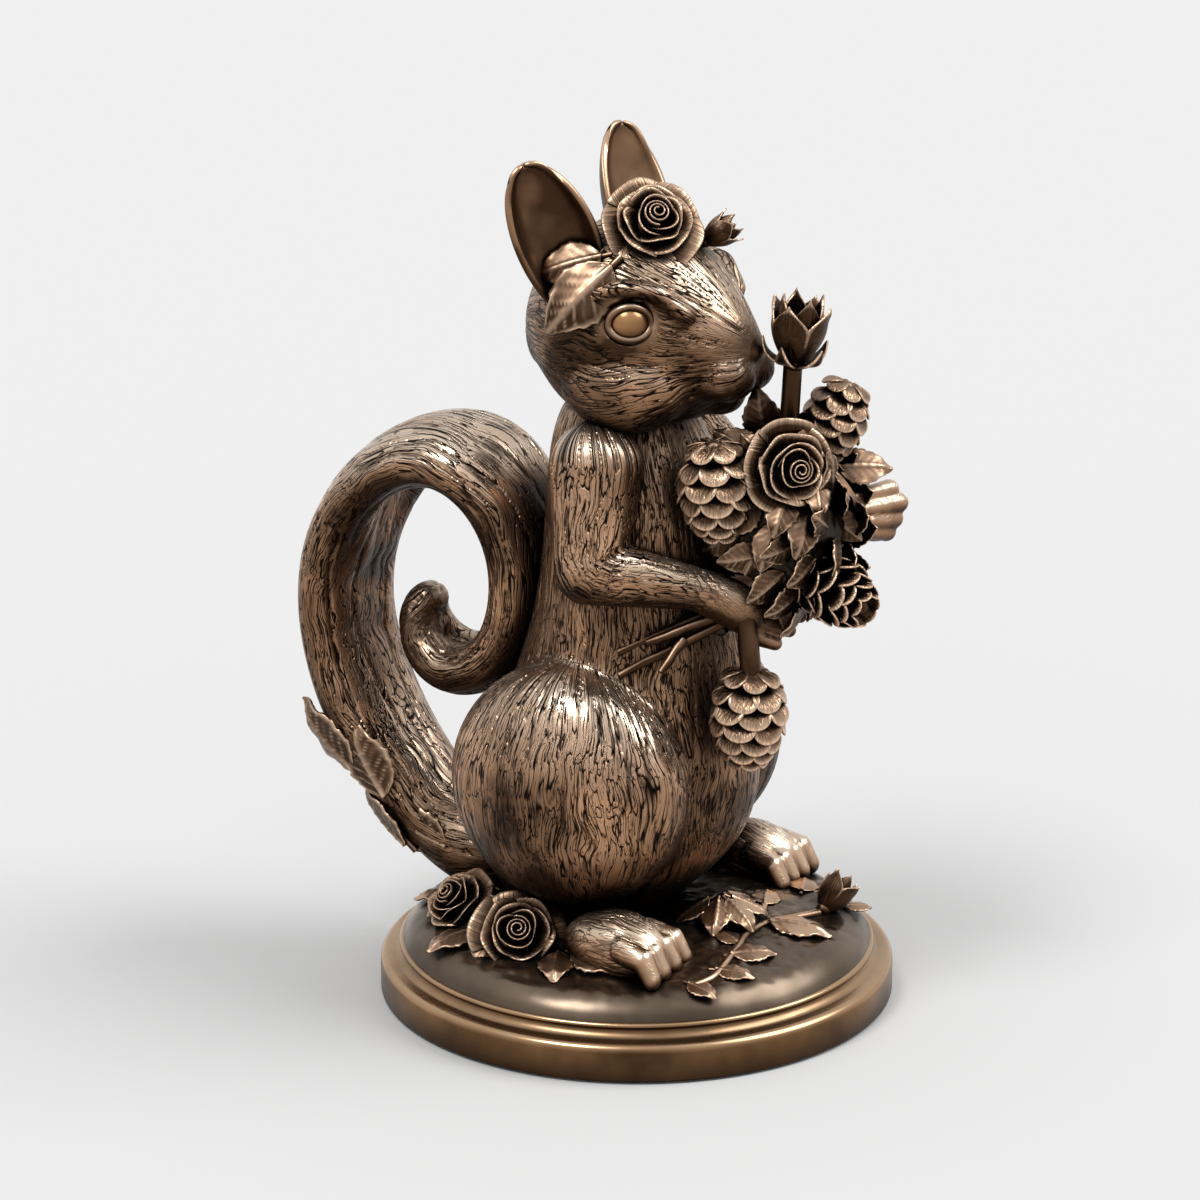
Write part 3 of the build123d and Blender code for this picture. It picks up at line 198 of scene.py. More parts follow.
def ramp(tree, factor, low, high):
    """A soft step from 0 at low to 1 at high."""
    node = add_node(tree, "ShaderNodeMapRange", {"interpolation_type": "SMOOTHSTEP"}, Value=factor)
    node.inputs["From Min"].default_value = low
    node.inputs["From Max"].default_value = high
    return node.outputs["Result"]


def blend_colors(tree, factor, first, second):
    """A mix of two colours."""
    node = tree.nodes.new("ShaderNodeMix")
    node.data_type = "RGBA"
    socket_in(tree, node, 0, factor)
    socket_in(tree, node, 6, first)
    socket_in(tree, node, 7, second)
    return node.outputs[2]


def new_group(title, inputs, outputs):
    """A node group with named sockets; returns its tree, input and output nodes."""
    tree = bpy.data.node_groups.new(title, "ShaderNodeTree")
    for name, kind, value in inputs:
        socket = tree.interface.new_socket(name, in_out="INPUT", socket_type="NodeSocket" + kind)
        if value is not None:
            socket.default_value = value
    for name, kind in outputs:
        tree.interface.new_socket(name, in_out="OUTPUT", socket_type="NodeSocket" + kind)
    return tree, tree.nodes.new("NodeGroupInput"), tree.nodes.new("NodeGroupOutput")


print("node helpers ready")

# %% [markdown]
# Every finish shares one effect: bronze that was darkened with patina and then rubbed, with light
# and shade painted into its colour. Rubbing reaches what faces outwards and leaves patina in the
# hollows. A group measures these: Ambient Occlusion finds hollows, and its wide reach also paints
# shade between parts; the normal makes what faces up lighter and gives it a painted sheen, as if
# lit and reflecting the sky from above; a slow noise keeps it uneven.

# %% Rubbed patina and painted light group
hollow_reach = 16 * MM
hollow_contrast = 2.2
cloud_spread = 1.8
dull, polished = 0.40, 0.20
patina_and_light, rub_in, rub_out = new_group(
    "patina_and_painted_light",
    (
        ("Relief", "Float", 1.0),
        ("Edge", "Float", 0.0),
        ("Dark", "Color", (0.008, 0.005, 0.004, 1)),
        ("Body", "Color", (0.055, 0.028, 0.014, 1)),
        ("Copper", "Color", (0.60, 0.33, 0.18, 1)),
        ("Bright", "Color", (0.92, 0.64, 0.44, 1)),
        ("Rub", "Float", 0.5),
    ),
    (("Color", "Color"), ("Roughness", "Float")),
)
normal = add_node(patina_and_light, "ShaderNodeNewGeometry").outputs["Normal"]
facing_up = add_node(patina_and_light, "ShaderNodeSeparateXYZ", Vector=normal).outputs["Z"]
# painted light: what faces up is made lighter and what faces down darker, as if lit from above
painted_top_light = ramp(patina_and_light, facing_up, -0.8, 0.9)
# Ambient Occlusion: patina kept in small hollows, and painted shade in the wider recesses between
# parts
hollow = add_node(
    patina_and_light, "ShaderNodeAmbientOcclusion", {"samples": 8}, Distance=hollow_reach
).outputs["AO"]
open_place = maths(patina_and_light, "POWER", hollow, hollow_contrast)
clouds_at = add_node(patina_and_light, "ShaderNodeTexCoord").outputs["Object"]
clouds = add_node(patina_and_light, "ShaderNodeTexNoise", Vector=clouds_at, Scale=38.0, Detail=3.0)
uneven = maths(patina_and_light, "MULTIPLY_ADD", clouds.outputs["Fac"], cloud_spread)
uneven.node.inputs[2].default_value = -cloud_spread / 2
# the tone mixes painted top light, uneven patina and the material's own rubbing; hollows then pull
# it down to the dark body colour, which is patina plus painted shade
tone = maths(patina_and_light, "ADD", maths(patina_and_light, "ADD", painted_top_light, uneven), rub_in.outputs["Rub"])
tone = maths(patina_and_light, "MULTIPLY", maths(patina_and_light, "SUBTRACT", tone, 0.5), open_place, clamp=True)
skin = blend_colors(patina_and_light, tone, rub_in.outputs["Body"], rub_in.outputs["Copper"])
# painted sheen: a pale sky reflection painted onto what faces up
painted_sheen = maths(patina_and_light, "MULTIPLY", ramp(patina_and_light, facing_up, 0.0, 0.85), tone)
skin = blend_colors(patina_and_light, painted_sheen, skin, rub_in.outputs["Bright"])
worn = maths(patina_and_light, "MULTIPLY", rub_in.outputs["Edge"], open_place, clamp=True)
skin = blend_colors(patina_and_light, worn, skin, rub_in.outputs["Bright"])
# darkest in the engraved cuts, which is patina, and where Ambient Occlusion finds hollows and
# recesses between parts, which is patina plus painted shade
cut = maths(patina_and_light, "MULTIPLY", rub_in.outputs["Relief"], ramp(patina_and_light, hollow, 0.05, 0.75))
patina_and_light.links.new(blend_colors(patina_and_light, cut, rub_in.outputs["Dark"], skin), rub_out.inputs["Color"])
gloss = maths(patina_and_light, "MULTIPLY_ADD", maths(patina_and_light, "MULTIPLY", cut, tone), polished - dull)
gloss.node.inputs[2].default_value = dull
patina_and_light.links.new(gloss, rub_out.inputs["Roughness"])
print("patina group has", len(patina_and_light.nodes), "nodes")

# %% [markdown]
# The fur is engraved: thin black cuts run along the coat and leave polished ridges. Noise
# stretched along the coat, cut where it crosses its middle value, gives such lines, long and
# thin. Each furry piece stores a coat space for its points, two numbers across the hair and
# one along it, and the group reads that. A value called bare leaves noses and toes smooth.

# %% Engraved fur group
engraved, cut_in, cut_out = new_group(
    "engraved_fur",
    (("Pitch", "Float", 1.5), ("Length", "Float", 15.0), ("Depth", "Float", 1.0)),
    (("Relief", "Float"), ("Height", "Float")),
)
coat = add_node(engraved, "ShaderNodeAttribute", {"attribute_name": "coat"}).outputs["Vector"]
bare = add_node(engraved, "ShaderNodeAttribute", {"attribute_name": "bare"}).outputs["Fac"]
drift = add_node(engraved, "ShaderNodeTexNoise", Vector=coat, Scale=0.055, Detail=1.0)
waver = add_node(
    engraved,
    "ShaderNodeVectorMath",
    {"operation": "MULTIPLY_ADD"},
    i0=drift.outputs["Color"],
    i1=(8.0, 8.0, 4.0),
    i2=coat,
)
across_x, across_y, along_hair = add_node(
    engraved, "ShaderNodeSeparateXYZ", Vector=waver.outputs[0]
).outputs
hair_space = add_node(
    engraved,
    "ShaderNodeCombineXYZ",
    X=maths(engraved, "DIVIDE", across_x, cut_in.outputs["Pitch"]),
    Y=maths(engraved, "DIVIDE", across_y, cut_in.outputs["Pitch"]),
    Z=maths(engraved, "DIVIDE", along_hair, cut_in.outputs["Length"]),
).outputs[0]
coarse_and_fine = ((1.0, 0.012, 0.075), (1.9, 0.0, 0.04))
ridge = 1.0
for scale, thin, wide in coarse_and_fine:
    hairs = add_node(engraved, "ShaderNodeTexNoise", Vector=hair_space, Scale=scale, Detail=0.0)
    from_crest = maths(engraved, "ABSOLUTE", maths(engraved, "SUBTRACT", hairs.outputs["Fac"], 0.5))
    ridge = maths(engraved, "MULTIPLY", ramp(engraved, from_crest, thin, wide), ridge)
cover = maths(engraved, "MULTIPLY", maths(engraved, "SUBTRACT", 1.0, bare), cut_in.outputs["Depth"])
flat_part = maths(engraved, "SUBTRACT", 1.0, cover)
relief = maths(engraved, "ADD", maths(engraved, "MULTIPLY", ridge, cover), flat_part, clamp=True)
cleft = add_node(engraved, "ShaderNodeAttribute", {"attribute_name": "cleft"}).outputs["Fac"]
relief = maths(engraved, "MULTIPLY", relief, maths(engraved, "SUBTRACT", 1.0, cleft, clamp=True))
engraved.links.new(relief, cut_out.inputs["Relief"])
engraved.links.new(relief, cut_out.inputs["Height"])
print("fur group has", len(engraved.nodes), "nodes")

# %% [markdown]
# Each material is one Principled shader with the rubbed patina, its painted light and shade
# included, on its colour and roughness. The fur adds its cuts; petals, leaves and scales add bright
# rims from a value their meshes store; the ground is dark like soil; the plinth band and the eyes
# are rubbed most and look golden.


# %% Materials
cut_depth = 0.5


def bronze(title, rub, pitch=None, length=15.0, depth=1.0, rim=False, **colors):
    """A bronze material; pitch adds fur and rim adds worn edges."""
    material = bpy.data.materials.new(title)
    material.use_nodes = True
    tree = material.node_tree
    shader = tree.nodes["Principled BSDF"]
    shader.inputs["Metallic"].default_value = 1.0
    patina = tree.nodes.new("ShaderNodeGroup")
    patina.node_tree = patina_and_light
    patina.inputs["Rub"].default_value = rub
    for name, color in colors.items():
        patina.inputs[name].default_value = (*color, 1)
    if pitch:
        fur = tree.nodes.new("ShaderNodeGroup")
        fur.node_tree = engraved
        fur.inputs["Pitch"].default_value = pitch
        fur.inputs["Length"].default_value = length
        fur.inputs["Depth"].default_value = depth
        tree.links.new(fur.outputs["Relief"], patina.inputs["Relief"])
        bump = add_node(
            tree, "ShaderNodeBump", Distance=cut_depth * MM, Height=fur.outputs["Height"]
        )
        tree.links.new(bump.outputs["Normal"], shader.inputs["Normal"])
    if rim:
        worn_edge = add_node(tree, "ShaderNodeAttribute", {"attribute_name": "worn"})
        tree.links.new(worn_edge.outputs["Fac"], patina.inputs["Edge"])
    tree.links.new(patina.outputs["Color"], shader.inputs["Base Color"])
    tree.links.new(patina.outputs["Roughness"], shader.inputs["Roughness"])
    return material


# Bright is the colour of really rubbed rims and also of the painted sheen on what faces up
furry = {"Copper": (0.74, 0.42, 0.24), "Bright": (1.0, 0.80, 0.62)}
coat_metal = bronze("furry_bronze", 0.44, pitch=1.1, length=21.0, **furry)
face_metal = bronze("face_bronze", 0.34, pitch=0.95, length=16.0, **furry)
tail_metal = bronze("tail_bronze", 0.34, pitch=1.25, length=32.0, **furry)
bare_metal = bronze("bare_bronze", 0.22)
floral = {"rim": True, "Copper": (0.40, 0.21, 0.12)}
petal_metal = bronze("petal_bronze", -0.05, pitch=1.6, length=12.0, depth=0.3, **floral)
leaf_metal = bronze("leaf_bronze", 0.0, **floral)
woody = {"rim": True, "Copper": (0.34, 0.17, 0.09)}
cone_metal = bronze("cone_bronze", 0.02, pitch=1.6, length=9.0, depth=0.3, **woody)
earth = {"Body": (0.035, 0.027, 0.02), "Copper": (0.10, 0.068, 0.045), "Bright": (0.26, 0.2, 0.15)}
ground_metal = bronze("ground_bronze", 0.10, **earth)
band_metal = bronze("band_bronze", 0.45, Copper=(0.40, 0.22, 0.10), Bright=(0.6, 0.40, 0.24))
eye_metal = bronze("eye_bronze", 0.6, Copper=(0.50, 0.26, 0.11), Bright=(0.7, 0.4, 0.2))
print("bronze materials ready")

# %% [markdown]
# The furry pieces start from copies of their castings. An even skin replaces the facets and
# smooths the creases. Then each point learns its place in the coat, here by its distance from
# a pole that the hair runs away from, as on a belly or a head. Locks are raised from a noise in
# that coat space: rounded bumps with sharp clefts between them.


# %% Combing and raising locks
def smooth(values, low, high):
    """A soft step from 0 at low to 1 at high, for arrays."""
    share = np.clip((values - low) / (high - low), 0, 1)
    return share * share * (3 - 2 * share)


def comb_round(piece, middle, axes, reach):
    """Coat space for hair that runs along an axis, like meridians; axes are the two across it."""
    places = points_of(piece) - np.array(middle)
    first, second = (places[:, axis] for axis in axes)
    away = np.maximum(np.hypot(first, second), 0.1)
    along = places[:, 3 - sum(axes)]
    return np.stack((first / away * reach, second / away * reach, along), axis=1)


def raise_locks(piece, coat, pitch, length, amount, bare, lines=0.0):
    """Raise locks of hair along the coat and store what the fur material reads."""
    lanes = coat / np.array((pitch, pitch, length))
    waves = np.abs([noise.noise(lane) for lane in lanes.tolist()])
    lift = amount * (np.minimum(waves * 5, 1) - 0.6) * (1 - bare)
    move_points(piece, points_of(piece) + normals_of(piece) * lift[:, None])
    keep_values(piece, "coat", coat)
    keep_values(piece, "bare", bare)
    cleft = 0.8 * (1 - smooth(waves, 0.0, 0.055)) * (1 - bare)
    keep_values(piece, "cleft", np.maximum(cleft, lines))


print("combs ready")

# %% [markdown]
# The torso is one casting with its haunches. Its coat runs down from the neck, but on each
# haunch the hair falls over the thigh, so points near a thigh are combed round the thigh's own
# pole. Sculpting by hand would follow the form more freely; two poles are enough to read as fur.

# %% Torso
thigh_reach = (27, 40, 40)
torso = cast_copy("torso_fur", "torso")
soften(torso, 0.9, 40)
torso_coat = comb_round(torso, (0, 5, 80), (0, 1), 45)
torso_places = points_of(torso)
for side in (-1, 1):
    thigh = (torso_places - (side * 33.2, 6.9, 79.4)) / thigh_reach
    inside = (np.linalg.norm(thigh, axis=1) < 1.03) & (torso_places[:, 0] * side > 20)
    torso_coat[inside] = comb_round(torso, (side * 26, 6.9, 79.4), (0, 1), 36)[inside]
raise_locks(torso, torso_coat, 4.0, 44.0, 0.3, np.zeros(len(torso_coat)))
finish_piece(torso, coat_metal, "bronze_fur", "torso")

# %% [markdown]
# The head's mouth, nostrils and the folds over the eyes are chased lines. A chisel stroke is a
# path: every point near it is sunk along its normal, and the depth is kept as darkness too.


# %% Chisel strokes
def curved_path(joints, steps):
    """A smooth path through some joints."""
    joints = [Vector(joint) for joint in joints]
    joints = [2 * joints[0] - joints[1]] + joints + [2 * joints[-1] - joints[-2]]
    path = []
    for a, b, c, d in zip(joints, joints[1:], joints[2:], joints[3:]):
        for k in range(steps):
            t = k / steps
            bend = 2 * b + (c - a) * t + (2 * a - 5 * b + 4 * c - d) * t**2
            path.append((bend + (3 * b - a - 3 * c + d) * t**3) / 2)
    return path + [joints[-2]]


def carve(piece, path, width, depth):
    """Sink a line into a piece and return how deep each point lies in it, from 0 to 1."""
    places = points_of(piece)
    nearest = np.full(len(places), np.inf)
    for start, end in zip(np.array(path[:-1]), np.array(path[1:])):
        way = end - start
        share = np.clip((places - start) @ way / (way @ way), 0, 1)
        distance = np.linalg.norm(places - start - share[:, None] * way, axis=1)
        nearest = np.minimum(nearest, distance)
    sunk = 1 - smooth(nearest, 0.0, width)
    move_points(piece, places - normals_of(piece) * (depth * sunk)[:, None])
    return sunk


def middle_of(node):
    """The middle of a CAD node's box, in millimetres."""
    low, high = (np.array(corner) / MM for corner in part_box(node))
    return (low + high) / 2


print("chisel ready, right eye at", middle_of("right_eye").round(1))

# %% [markdown]
# The cast brow is a hard roll over the eye, so a vertex group limits a strong Smooth modifier to
# it. The hair then runs back from the nose, and the nose and the eye rims stay bare.

# %% Head
brow_spots = ((21, -22, 238), (26, -12, 243), (29, -1, 241))
brow_reach = 9
head = cast_copy("head_fur", "head")
soften(head, 0.55, 45)
brow_group = head.vertex_groups.new(name="brow")
for point, place in zip(head.data.vertices, points_of(head)):
    if min(math.dist((abs(place[0]), *place[1:]), spot) for spot in brow_spots) < brow_reach:
        brow_group.add([point.index], 1.0, "REPLACE")
use_modifier(head, "SMOOTH", factor=0.5, iterations=160, vertex_group="brow")
head_places = points_of(head)
nose = np.array((0, -42, 219.5))
head_bare = 1 - smooth(np.linalg.norm(head_places - nose, axis=1), 5.0, 11.0)
for eye_node in ("left_eye", "right_eye"):
    from_eye = np.linalg.norm(head_places - middle_of(eye_node), axis=1)
    head_bare = np.maximum(head_bare, 1 - smooth(from_eye, 8.5, 12.0))
head_coat = comb_round(head, (0, 0, 221), (0, 2), 26)
lines = np.zeros(len(head_places))
for side in (-1, 1):
    mouth = [(0, -47, 212), (0, -44, 206)]
    mouth += [(side * x, y, z) for x, y, z in ((5, -41, 204), (11, -36, 204), (16, -27, 207))]
    nostril = [(side * 1.6, -46.5, 219.0), (side * 3.6, -44.5, 219.8)]
    over_eye = np.array((side * 24.8, -9.3, 231.5))
    fold = [
        tuple(over_eye + (side * 1.5, 10.5 * math.cos(a) - 1, 8.4 * math.sin(a)))
        for a in np.linspace(-0.3, math.pi + 0.3, 16)
    ]
    for path, width, depth in ((mouth, 1.3, 1.1), (nostril, 1.1, 0.9), (fold, 1.2, 0.8)):
        lines = np.maximum(lines, carve(head, curved_path(path, 4), width, depth))
raise_locks(head, head_coat, 3.4, 26.0, 0.2, head_bare, lines)
print("strokes touch", int((lines > 0).sum()), "points of the head")

# %% [markdown]
# Each eye is a polished ball with an almond lid round it. A lid could be cut into the head, but
# a closed bevelled curve that lies on the ball gives a clean round rim, and joins the head.


# %% Eyelids and eyes
def lid_loop(side, side_name):
    """A closed almond loop on the eye ball of one side."""
    lid_reach, lid_up, lid_down, lid_ball = 6.6, 5.6, 4.9, 7.4
    middle = Vector(middle_of(side_name + "_eye"))
    outward = Vector((side * 0.80, -0.56, 0.10)).normalized()
    ahead = outward.cross(Vector((0, 0, 1))).normalized() * side
    up = Vector((0, 0, 1)) - outward * outward.z
    loop = []
    for k in range(36):
        angle = 2 * math.pi * k / 36
        rise = (lid_up if math.sin(angle) > 0 else lid_down) * math.sin(angle)
        reach = ahead * lid_reach * math.cos(angle) + up * rise
        bulge = math.sqrt(max(0.0, lid_ball**2 - reach.length_squared))
        loop.append(middle + reach + outward * bulge)
    return loop


for side, side_name in ((1, "left"), (-1, "right")):
    lid_line = lid_loop(side, side_name)
    lid_curve = bpy.data.curves.new("lid", "CURVE")
    lid_curve.dimensions = "3D"
    lid_curve.bevel_depth = 1.25 * MM
    lid_curve.bevel_resolution = 4
    lid_spline = lid_curve.splines.new("POLY")
    lid_spline.points.add(len(lid_line) - 1)
    lid_spline.use_cyclic_u = True
    for point, place in zip(lid_spline.points, lid_line):
        point.co = (*(place * MM), 1)
    lid = bpy.data.objects.new("lid", lid_curve)
    bpy.context.collection.objects.link(lid)
    choose(lid)
    bpy.ops.object.convert(target="MESH")
    lid = bpy.context.object
    for name, value in (("bare", 1.0), ("cleft", 0.35)):
        keep_values(lid, name, np.full(len(lid.data.vertices), value))
    join_into(head, lid)
    eye = cast_copy(side_name + "_eye_ball", side_name + "_eye")
    soften(eye, 0.3, 12)
    finish_piece(eye, eye_metal, "bronze_polished", side_name + "_eye")
finish_piece(head, face_metal, "bronze_fur", "head")

# %% [markdown]
# An ear is a thin cup with a rounded rim. A flat grid is bent into that cup by a formula, then
# Solidify gives it a wall and Subdivision Surface rounds the rim. The left ear is turned
# towards the camera, as in the photograph.

# %% Ears
ear_length, ear_root, ear_half, ear_wall = 43, 7, 12.6, 2.2
ear_stands = (
    ("left", (21.7, 15.4, 246.0), (0.315, 0.204, 0.927), (-0.38, -0.92, 0.0)),
    ("right", (-21.7, 15.4, 246.0), (-0.315, 0.204, 0.927), (-0.62, -0.72, 0.0)),
)
for side_name, root, up, facing in ear_stands:
    up = Vector(up).normalized()
    across = up.cross(Vector(facing)).normalized()
    facing = across.cross(up)
    bpy.ops.mesh.primitive_grid_add(x_subdivisions=28, y_subdivisions=36, size=2)
    ear = bpy.context.object
    ear.name = side_name + "_ear_skin"
    flat = points_of(ear) * MM
    u, v = flat[:, 0], (flat[:, 1] + 1) / 2
    half = ear_half * np.sin(math.pi * (0.17 + 0.83 * v) ** 1.05) ** 0.45 + 0.2
    open_here = np.sin(math.pi * np.clip(0.25 + 0.7 * v, 0, 1))
    cup = 10.5 * np.abs(u) ** 2.2 * open_here - 1.6 * smooth(np.abs(u), 0.8, 1.0)
    spread = half * np.sin(u * 1.45) / math.sin(1.45)
    rise = ear_length * v - ear_root
    lean = cup - 4.5 * np.sin(math.pi * v * 0.8) + 1.5
    places = np.outer(rise, up) + np.outer(spread, across) + np.outer(lean, facing)
    move_points(ear, np.array(root) + places)
    use_modifier(ear, "SOLIDIFY", thickness=ear_wall * MM, offset=0)
    use_modifier(ear, "SUBSURF", levels=1, render_levels=1)
    finish_piece(ear, bare_metal, "bronze_fur", side_name + "_ear")

# %% [markdown]
# On a limb the hair runs along the bone. The second comb finds for each point the nearest place
# on a path through the joints, and takes the distance travelled there as its place in the coat.


# %% Arms
def comb_along(piece, path, side, reach, flat=1.0):
    """Coat space for hair that runs along a path of points, on a limb flattened by flat."""
    places = points_of(piece)
    nearest = np.full(len(places), np.inf)
    coat = np.zeros((len(places), 3))
    side = np.array(side)
    travelled = 0.0
    for start, end in zip(np.array(path[:-1]), np.array(path[1:])):
        length = np.linalg.norm(end - start)
        heading = (end - start) / length
        along = np.clip((places - start) @ heading, 0, length)
        offset = places - start - along[:, None] * heading
        distance = np.linalg.norm(offset, axis=1)
        near = distance < nearest
        nearest[near] = distance[near]
        wide = offset @ side * flat
        thick = offset @ np.cross(side, heading)
        away = np.maximum(np.hypot(wide, thick), 0.1)
        here = np.stack((wide / away * reach, thick / away * reach, travelled + along), axis=1)
        coat[near] = here[near]
        travelled += length
    return coat


right_arm = ((-25.2, 0.9, 183), (-36.1, -1.8, 153), (-21.8, -32.2, 147), (-12.6, -43.7, 140.6))
left_arm = ((25.2, 0.9, 183), (42, -20.7, 158), (37.8, -51.5, 159.6), (33.6, -67.2, 161.2))
arm_paths = {"right": (*right_arm, (0, -57.5, 138)), "left": (*left_arm, (28, -78, 166))}
for side_name, joints in arm_paths.items():
    arm = cast_copy(side_name + "_arm_fur", side_name + "_arm")
    soften(arm, 0.6, 5)
    arm_coat = comb_along(arm, curved_path(joints, 8), (0.8, -0.6, 0), 11)
    wrist_at = sum(math.dist(a, b) for a, b in zip(joints[:2], joints[1:3]))
    arm_bare = 0.85 * smooth(arm_coat[:, 2], wrist_at - 2, wrist_at + 16)
    raise_locks(arm, arm_coat, 3.6, 34.0, 0.3, arm_bare)
    finish_piece(arm, coat_metal, "bronze_fur", side_name + "_arm")

# %% [markdown]
# The feet are short and nearly bare, with four rounded toes. What lies in front of the ankle is
# drawn back by a fifth, which is as short as the photographed feet are.

# %% Feet
ankle_y = -12
drawn_back = 0.2
for side_name, foot_x in (("left", 46.2), ("right", -46.2)):
    foot = cast_copy(side_name + "_foot_fur", side_name + "_foot")
    soften(foot, 0.5, 4)
    foot_places = points_of(foot)
    foot_places[:, 1] -= drawn_back * np.minimum(foot_places[:, 1] - ankle_y, 0)
    move_points(foot, foot_places)
    foot_coat = comb_round(foot, (foot_x, 0, 24), (0, 2), 12)
    foot_bare = 0.45 + 0.5 * smooth(-foot_places[:, 1], 22, 32)
    raise_locks(foot, foot_coat, 3.4, 24.0, 0.25, foot_bare)
    finish_piece(foot, coat_metal, "bronze_fur", side_name + "_foot")

# %% [markdown]
# The tail is a flat scroll. The scoop in its solid breaks through the outer side near the start,
# where the real tail is whole, so a barrel with the tail's own section is joined in first; the
# voxel skin then runs over both. The tail is also swelled a little, as it is fuller than its
# solid.


# %% Tail
def tail_filling():
    """A closed barrel that follows the tail's section where its solid is broken through."""
    heights = (96, 102, 106, 110, 118, 126, 130, 136)
    middles = (104.5, 106.2, 107.4, 107.9, 108.2, 107.9, 107.4, 105.6)
    half_depths = (10.9, 10.5, 9.8, 9.7, 9.5, 9.4, 9.4, 9.6)
    half_width = 23.4
    low, high = 97, 133
    bpy.ops.mesh.primitive_uv_sphere_add(segments=64, ring_count=32)
    barrel = bpy.context.object
    ball = points_of(barrel) * MM
    height = low + (high - low) / 2 * (ball[:, 2] + 1)
    reach = np.hypot(ball[:, 0], ball[:, 1])
    full = np.minimum(1, 2.2 * reach) / np.maximum(reach, 1e-6)
    middle = np.interp(height, heights, middles)
    half_depth = np.interp(height, heights, half_depths)
    places = (ball[:, 0] * full * half_width, middle + ball[:, 1] * full * half_depth, height)
    move_points(barrel, np.stack(places, axis=1))
    return barrel


tail_spine = [
    (0, 40.7, 40.7), (0, 69.9, 45.8), (0, 91.8, 70.2), (0, 105.7, 99.6), (0, 107.1, 129),
    (0, 94.7, 157.2), (0, 71.4, 172.6), (0, 46.5, 162.3), (0, 37.8, 136.7), (0, 45.1, 112.4),
    (0, 64.1, 100.9), (0, 77.2, 109.8), (0, 74.3, 122.6),
]
tail = cast_copy("tail_fur", "tail")
join_into(tail, tail_filling())
soften(tail, 0.95, 24)
tail_coat = comb_along(tail, curved_path(tail_spine, 10), (1, 0, 0), 17, 0.45)
swell = 1.6 * smooth(tail_coat[:, 2], 90, 150) + 1.8 * smooth(tail_coat[:, 2], 250, 360)
move_points(tail, points_of(tail) + normals_of(tail) * swell[:, None])
raise_locks(tail, tail_coat, 5.5, 70.0, 0.6, np.zeros(len(tail_coat)))
finish_piece(tail, tail_metal, "bronze_fur", "tail")

# %% [markdown]
# The flowers, leaves and cones are thin cast sheets. Each kind starts as a flat grid that a
# small function bends into one petal, leaf or scale; Solidify gives it a wall. The same part is
# then repeated, turned and scaled to the places the solids hold.


# %% Sheet and placing helpers
def shaped_sheet(across, along, shape, wall, rounds=1):
    """Bend a grid by a shape function, give it a wall, and return it as a plain part."""
    bpy.ops.mesh.primitive_grid_add(x_subdivisions=across, y_subdivisions=along, size=2)
    sheet = bpy.context.object
    flat = points_of(sheet) * MM
    places, worn, grain = shape(flat[:, 0], (flat[:, 1] + 1) / 2)
    move_points(sheet, places / MM)
    keep_values(sheet, "worn", worn)
    keep_values(sheet, "coat", grain)
    use_modifier(sheet, "SOLIDIFY", thickness=wall, offset=0)
    if rounds:
        use_modifier(sheet, "SUBSURF", levels=rounds, render_levels=rounds)
    return take_part(sheet)


def take_part(piece):
    """A piece's points, faces, wear and grain, in its own units; the piece is removed."""
    count = len(piece.data.vertices)
    worn = np.zeros(count)
    grain = np.zeros(count * 3)
    if "worn" in piece.data.attributes:
        piece.data.attributes["worn"].data.foreach_get("value", worn)
        piece.data.attributes["coat"].data.foreach_get("vector", grain)
    part = (
        points_of(piece) * MM,
        [tuple(face.vertices) for face in piece.data.polygons],
        worn,
        grain.reshape(-1, 3),
    )
    bpy.data.objects.remove(piece)
    return part


def turned(part, axis, degrees):
    """A part turned about an axis through its origin."""
    turn = np.array(Matrix.Rotation(math.radians(degrees), 3, axis))
    return (part[0] @ turn.T, *part[1:])


def stand(parts, size, origin, facing, heading):
    """Unit parts at their size, place and facing, in millimetres."""
    frame_of = np.stack((heading, np.cross(facing, heading), facing))
    return [
        (points @ frame_of * size + np.array(origin), faces, worn, grain * size)
        for points, faces, worn, grain in parts
    ]


def rod(path, radii):
    """A round rod through some points, as a part; made as a bevelled curve."""
    curve = bpy.data.curves.new("rod", "CURVE")
    curve.dimensions = "3D"
    curve.bevel_depth = 1
    curve.bevel_resolution = 3
    curve.use_fill_caps = True
    line = curve.splines.new("POLY")
    line.points.add(len(path) - 1)
    for point, place, radius in zip(line.points, path, radii):
        point.co = (*place, 1)
        point.radius = radius
    piece = bpy.data.objects.new("rod", curve)
    bpy.context.collection.objects.link(piece)
    choose(piece)
    bpy.ops.object.convert(target="MESH")
    return take_part(bpy.context.object)


def gather(title, parts):
    """One piece from many parts in millimetres."""
    faces = []
    start = 0
    for part in parts:
        faces += [tuple(index + start for index in face) for face in part[1]]
        start += len(part[0])
    mesh = bpy.data.meshes.new(title)
    points = np.concatenate([part[0] for part in parts]) * MM
    mesh.from_pydata(points.tolist(), [], faces)
    piece = bpy.data.objects.new(title, mesh)
    bpy.context.collection.objects.link(piece)
    keep_values(piece, "worn", np.concatenate([part[2] for part in parts]))
    keep_values(piece, "coat", np.concatenate([part[3] for part in parts]))
    keep_values(piece, "bare", np.zeros(start))
    return piece


print("sheet helpers ready")

# %% [markdown]
# A rose is a spiral heart inside four rings of petals. Each ring's petals are wider, lower and
# further out, and the outer ones curl their rims outwards, where the copper shines.


# %% Rose parts
heart_turns = 2.6
petal_wall = 0.045


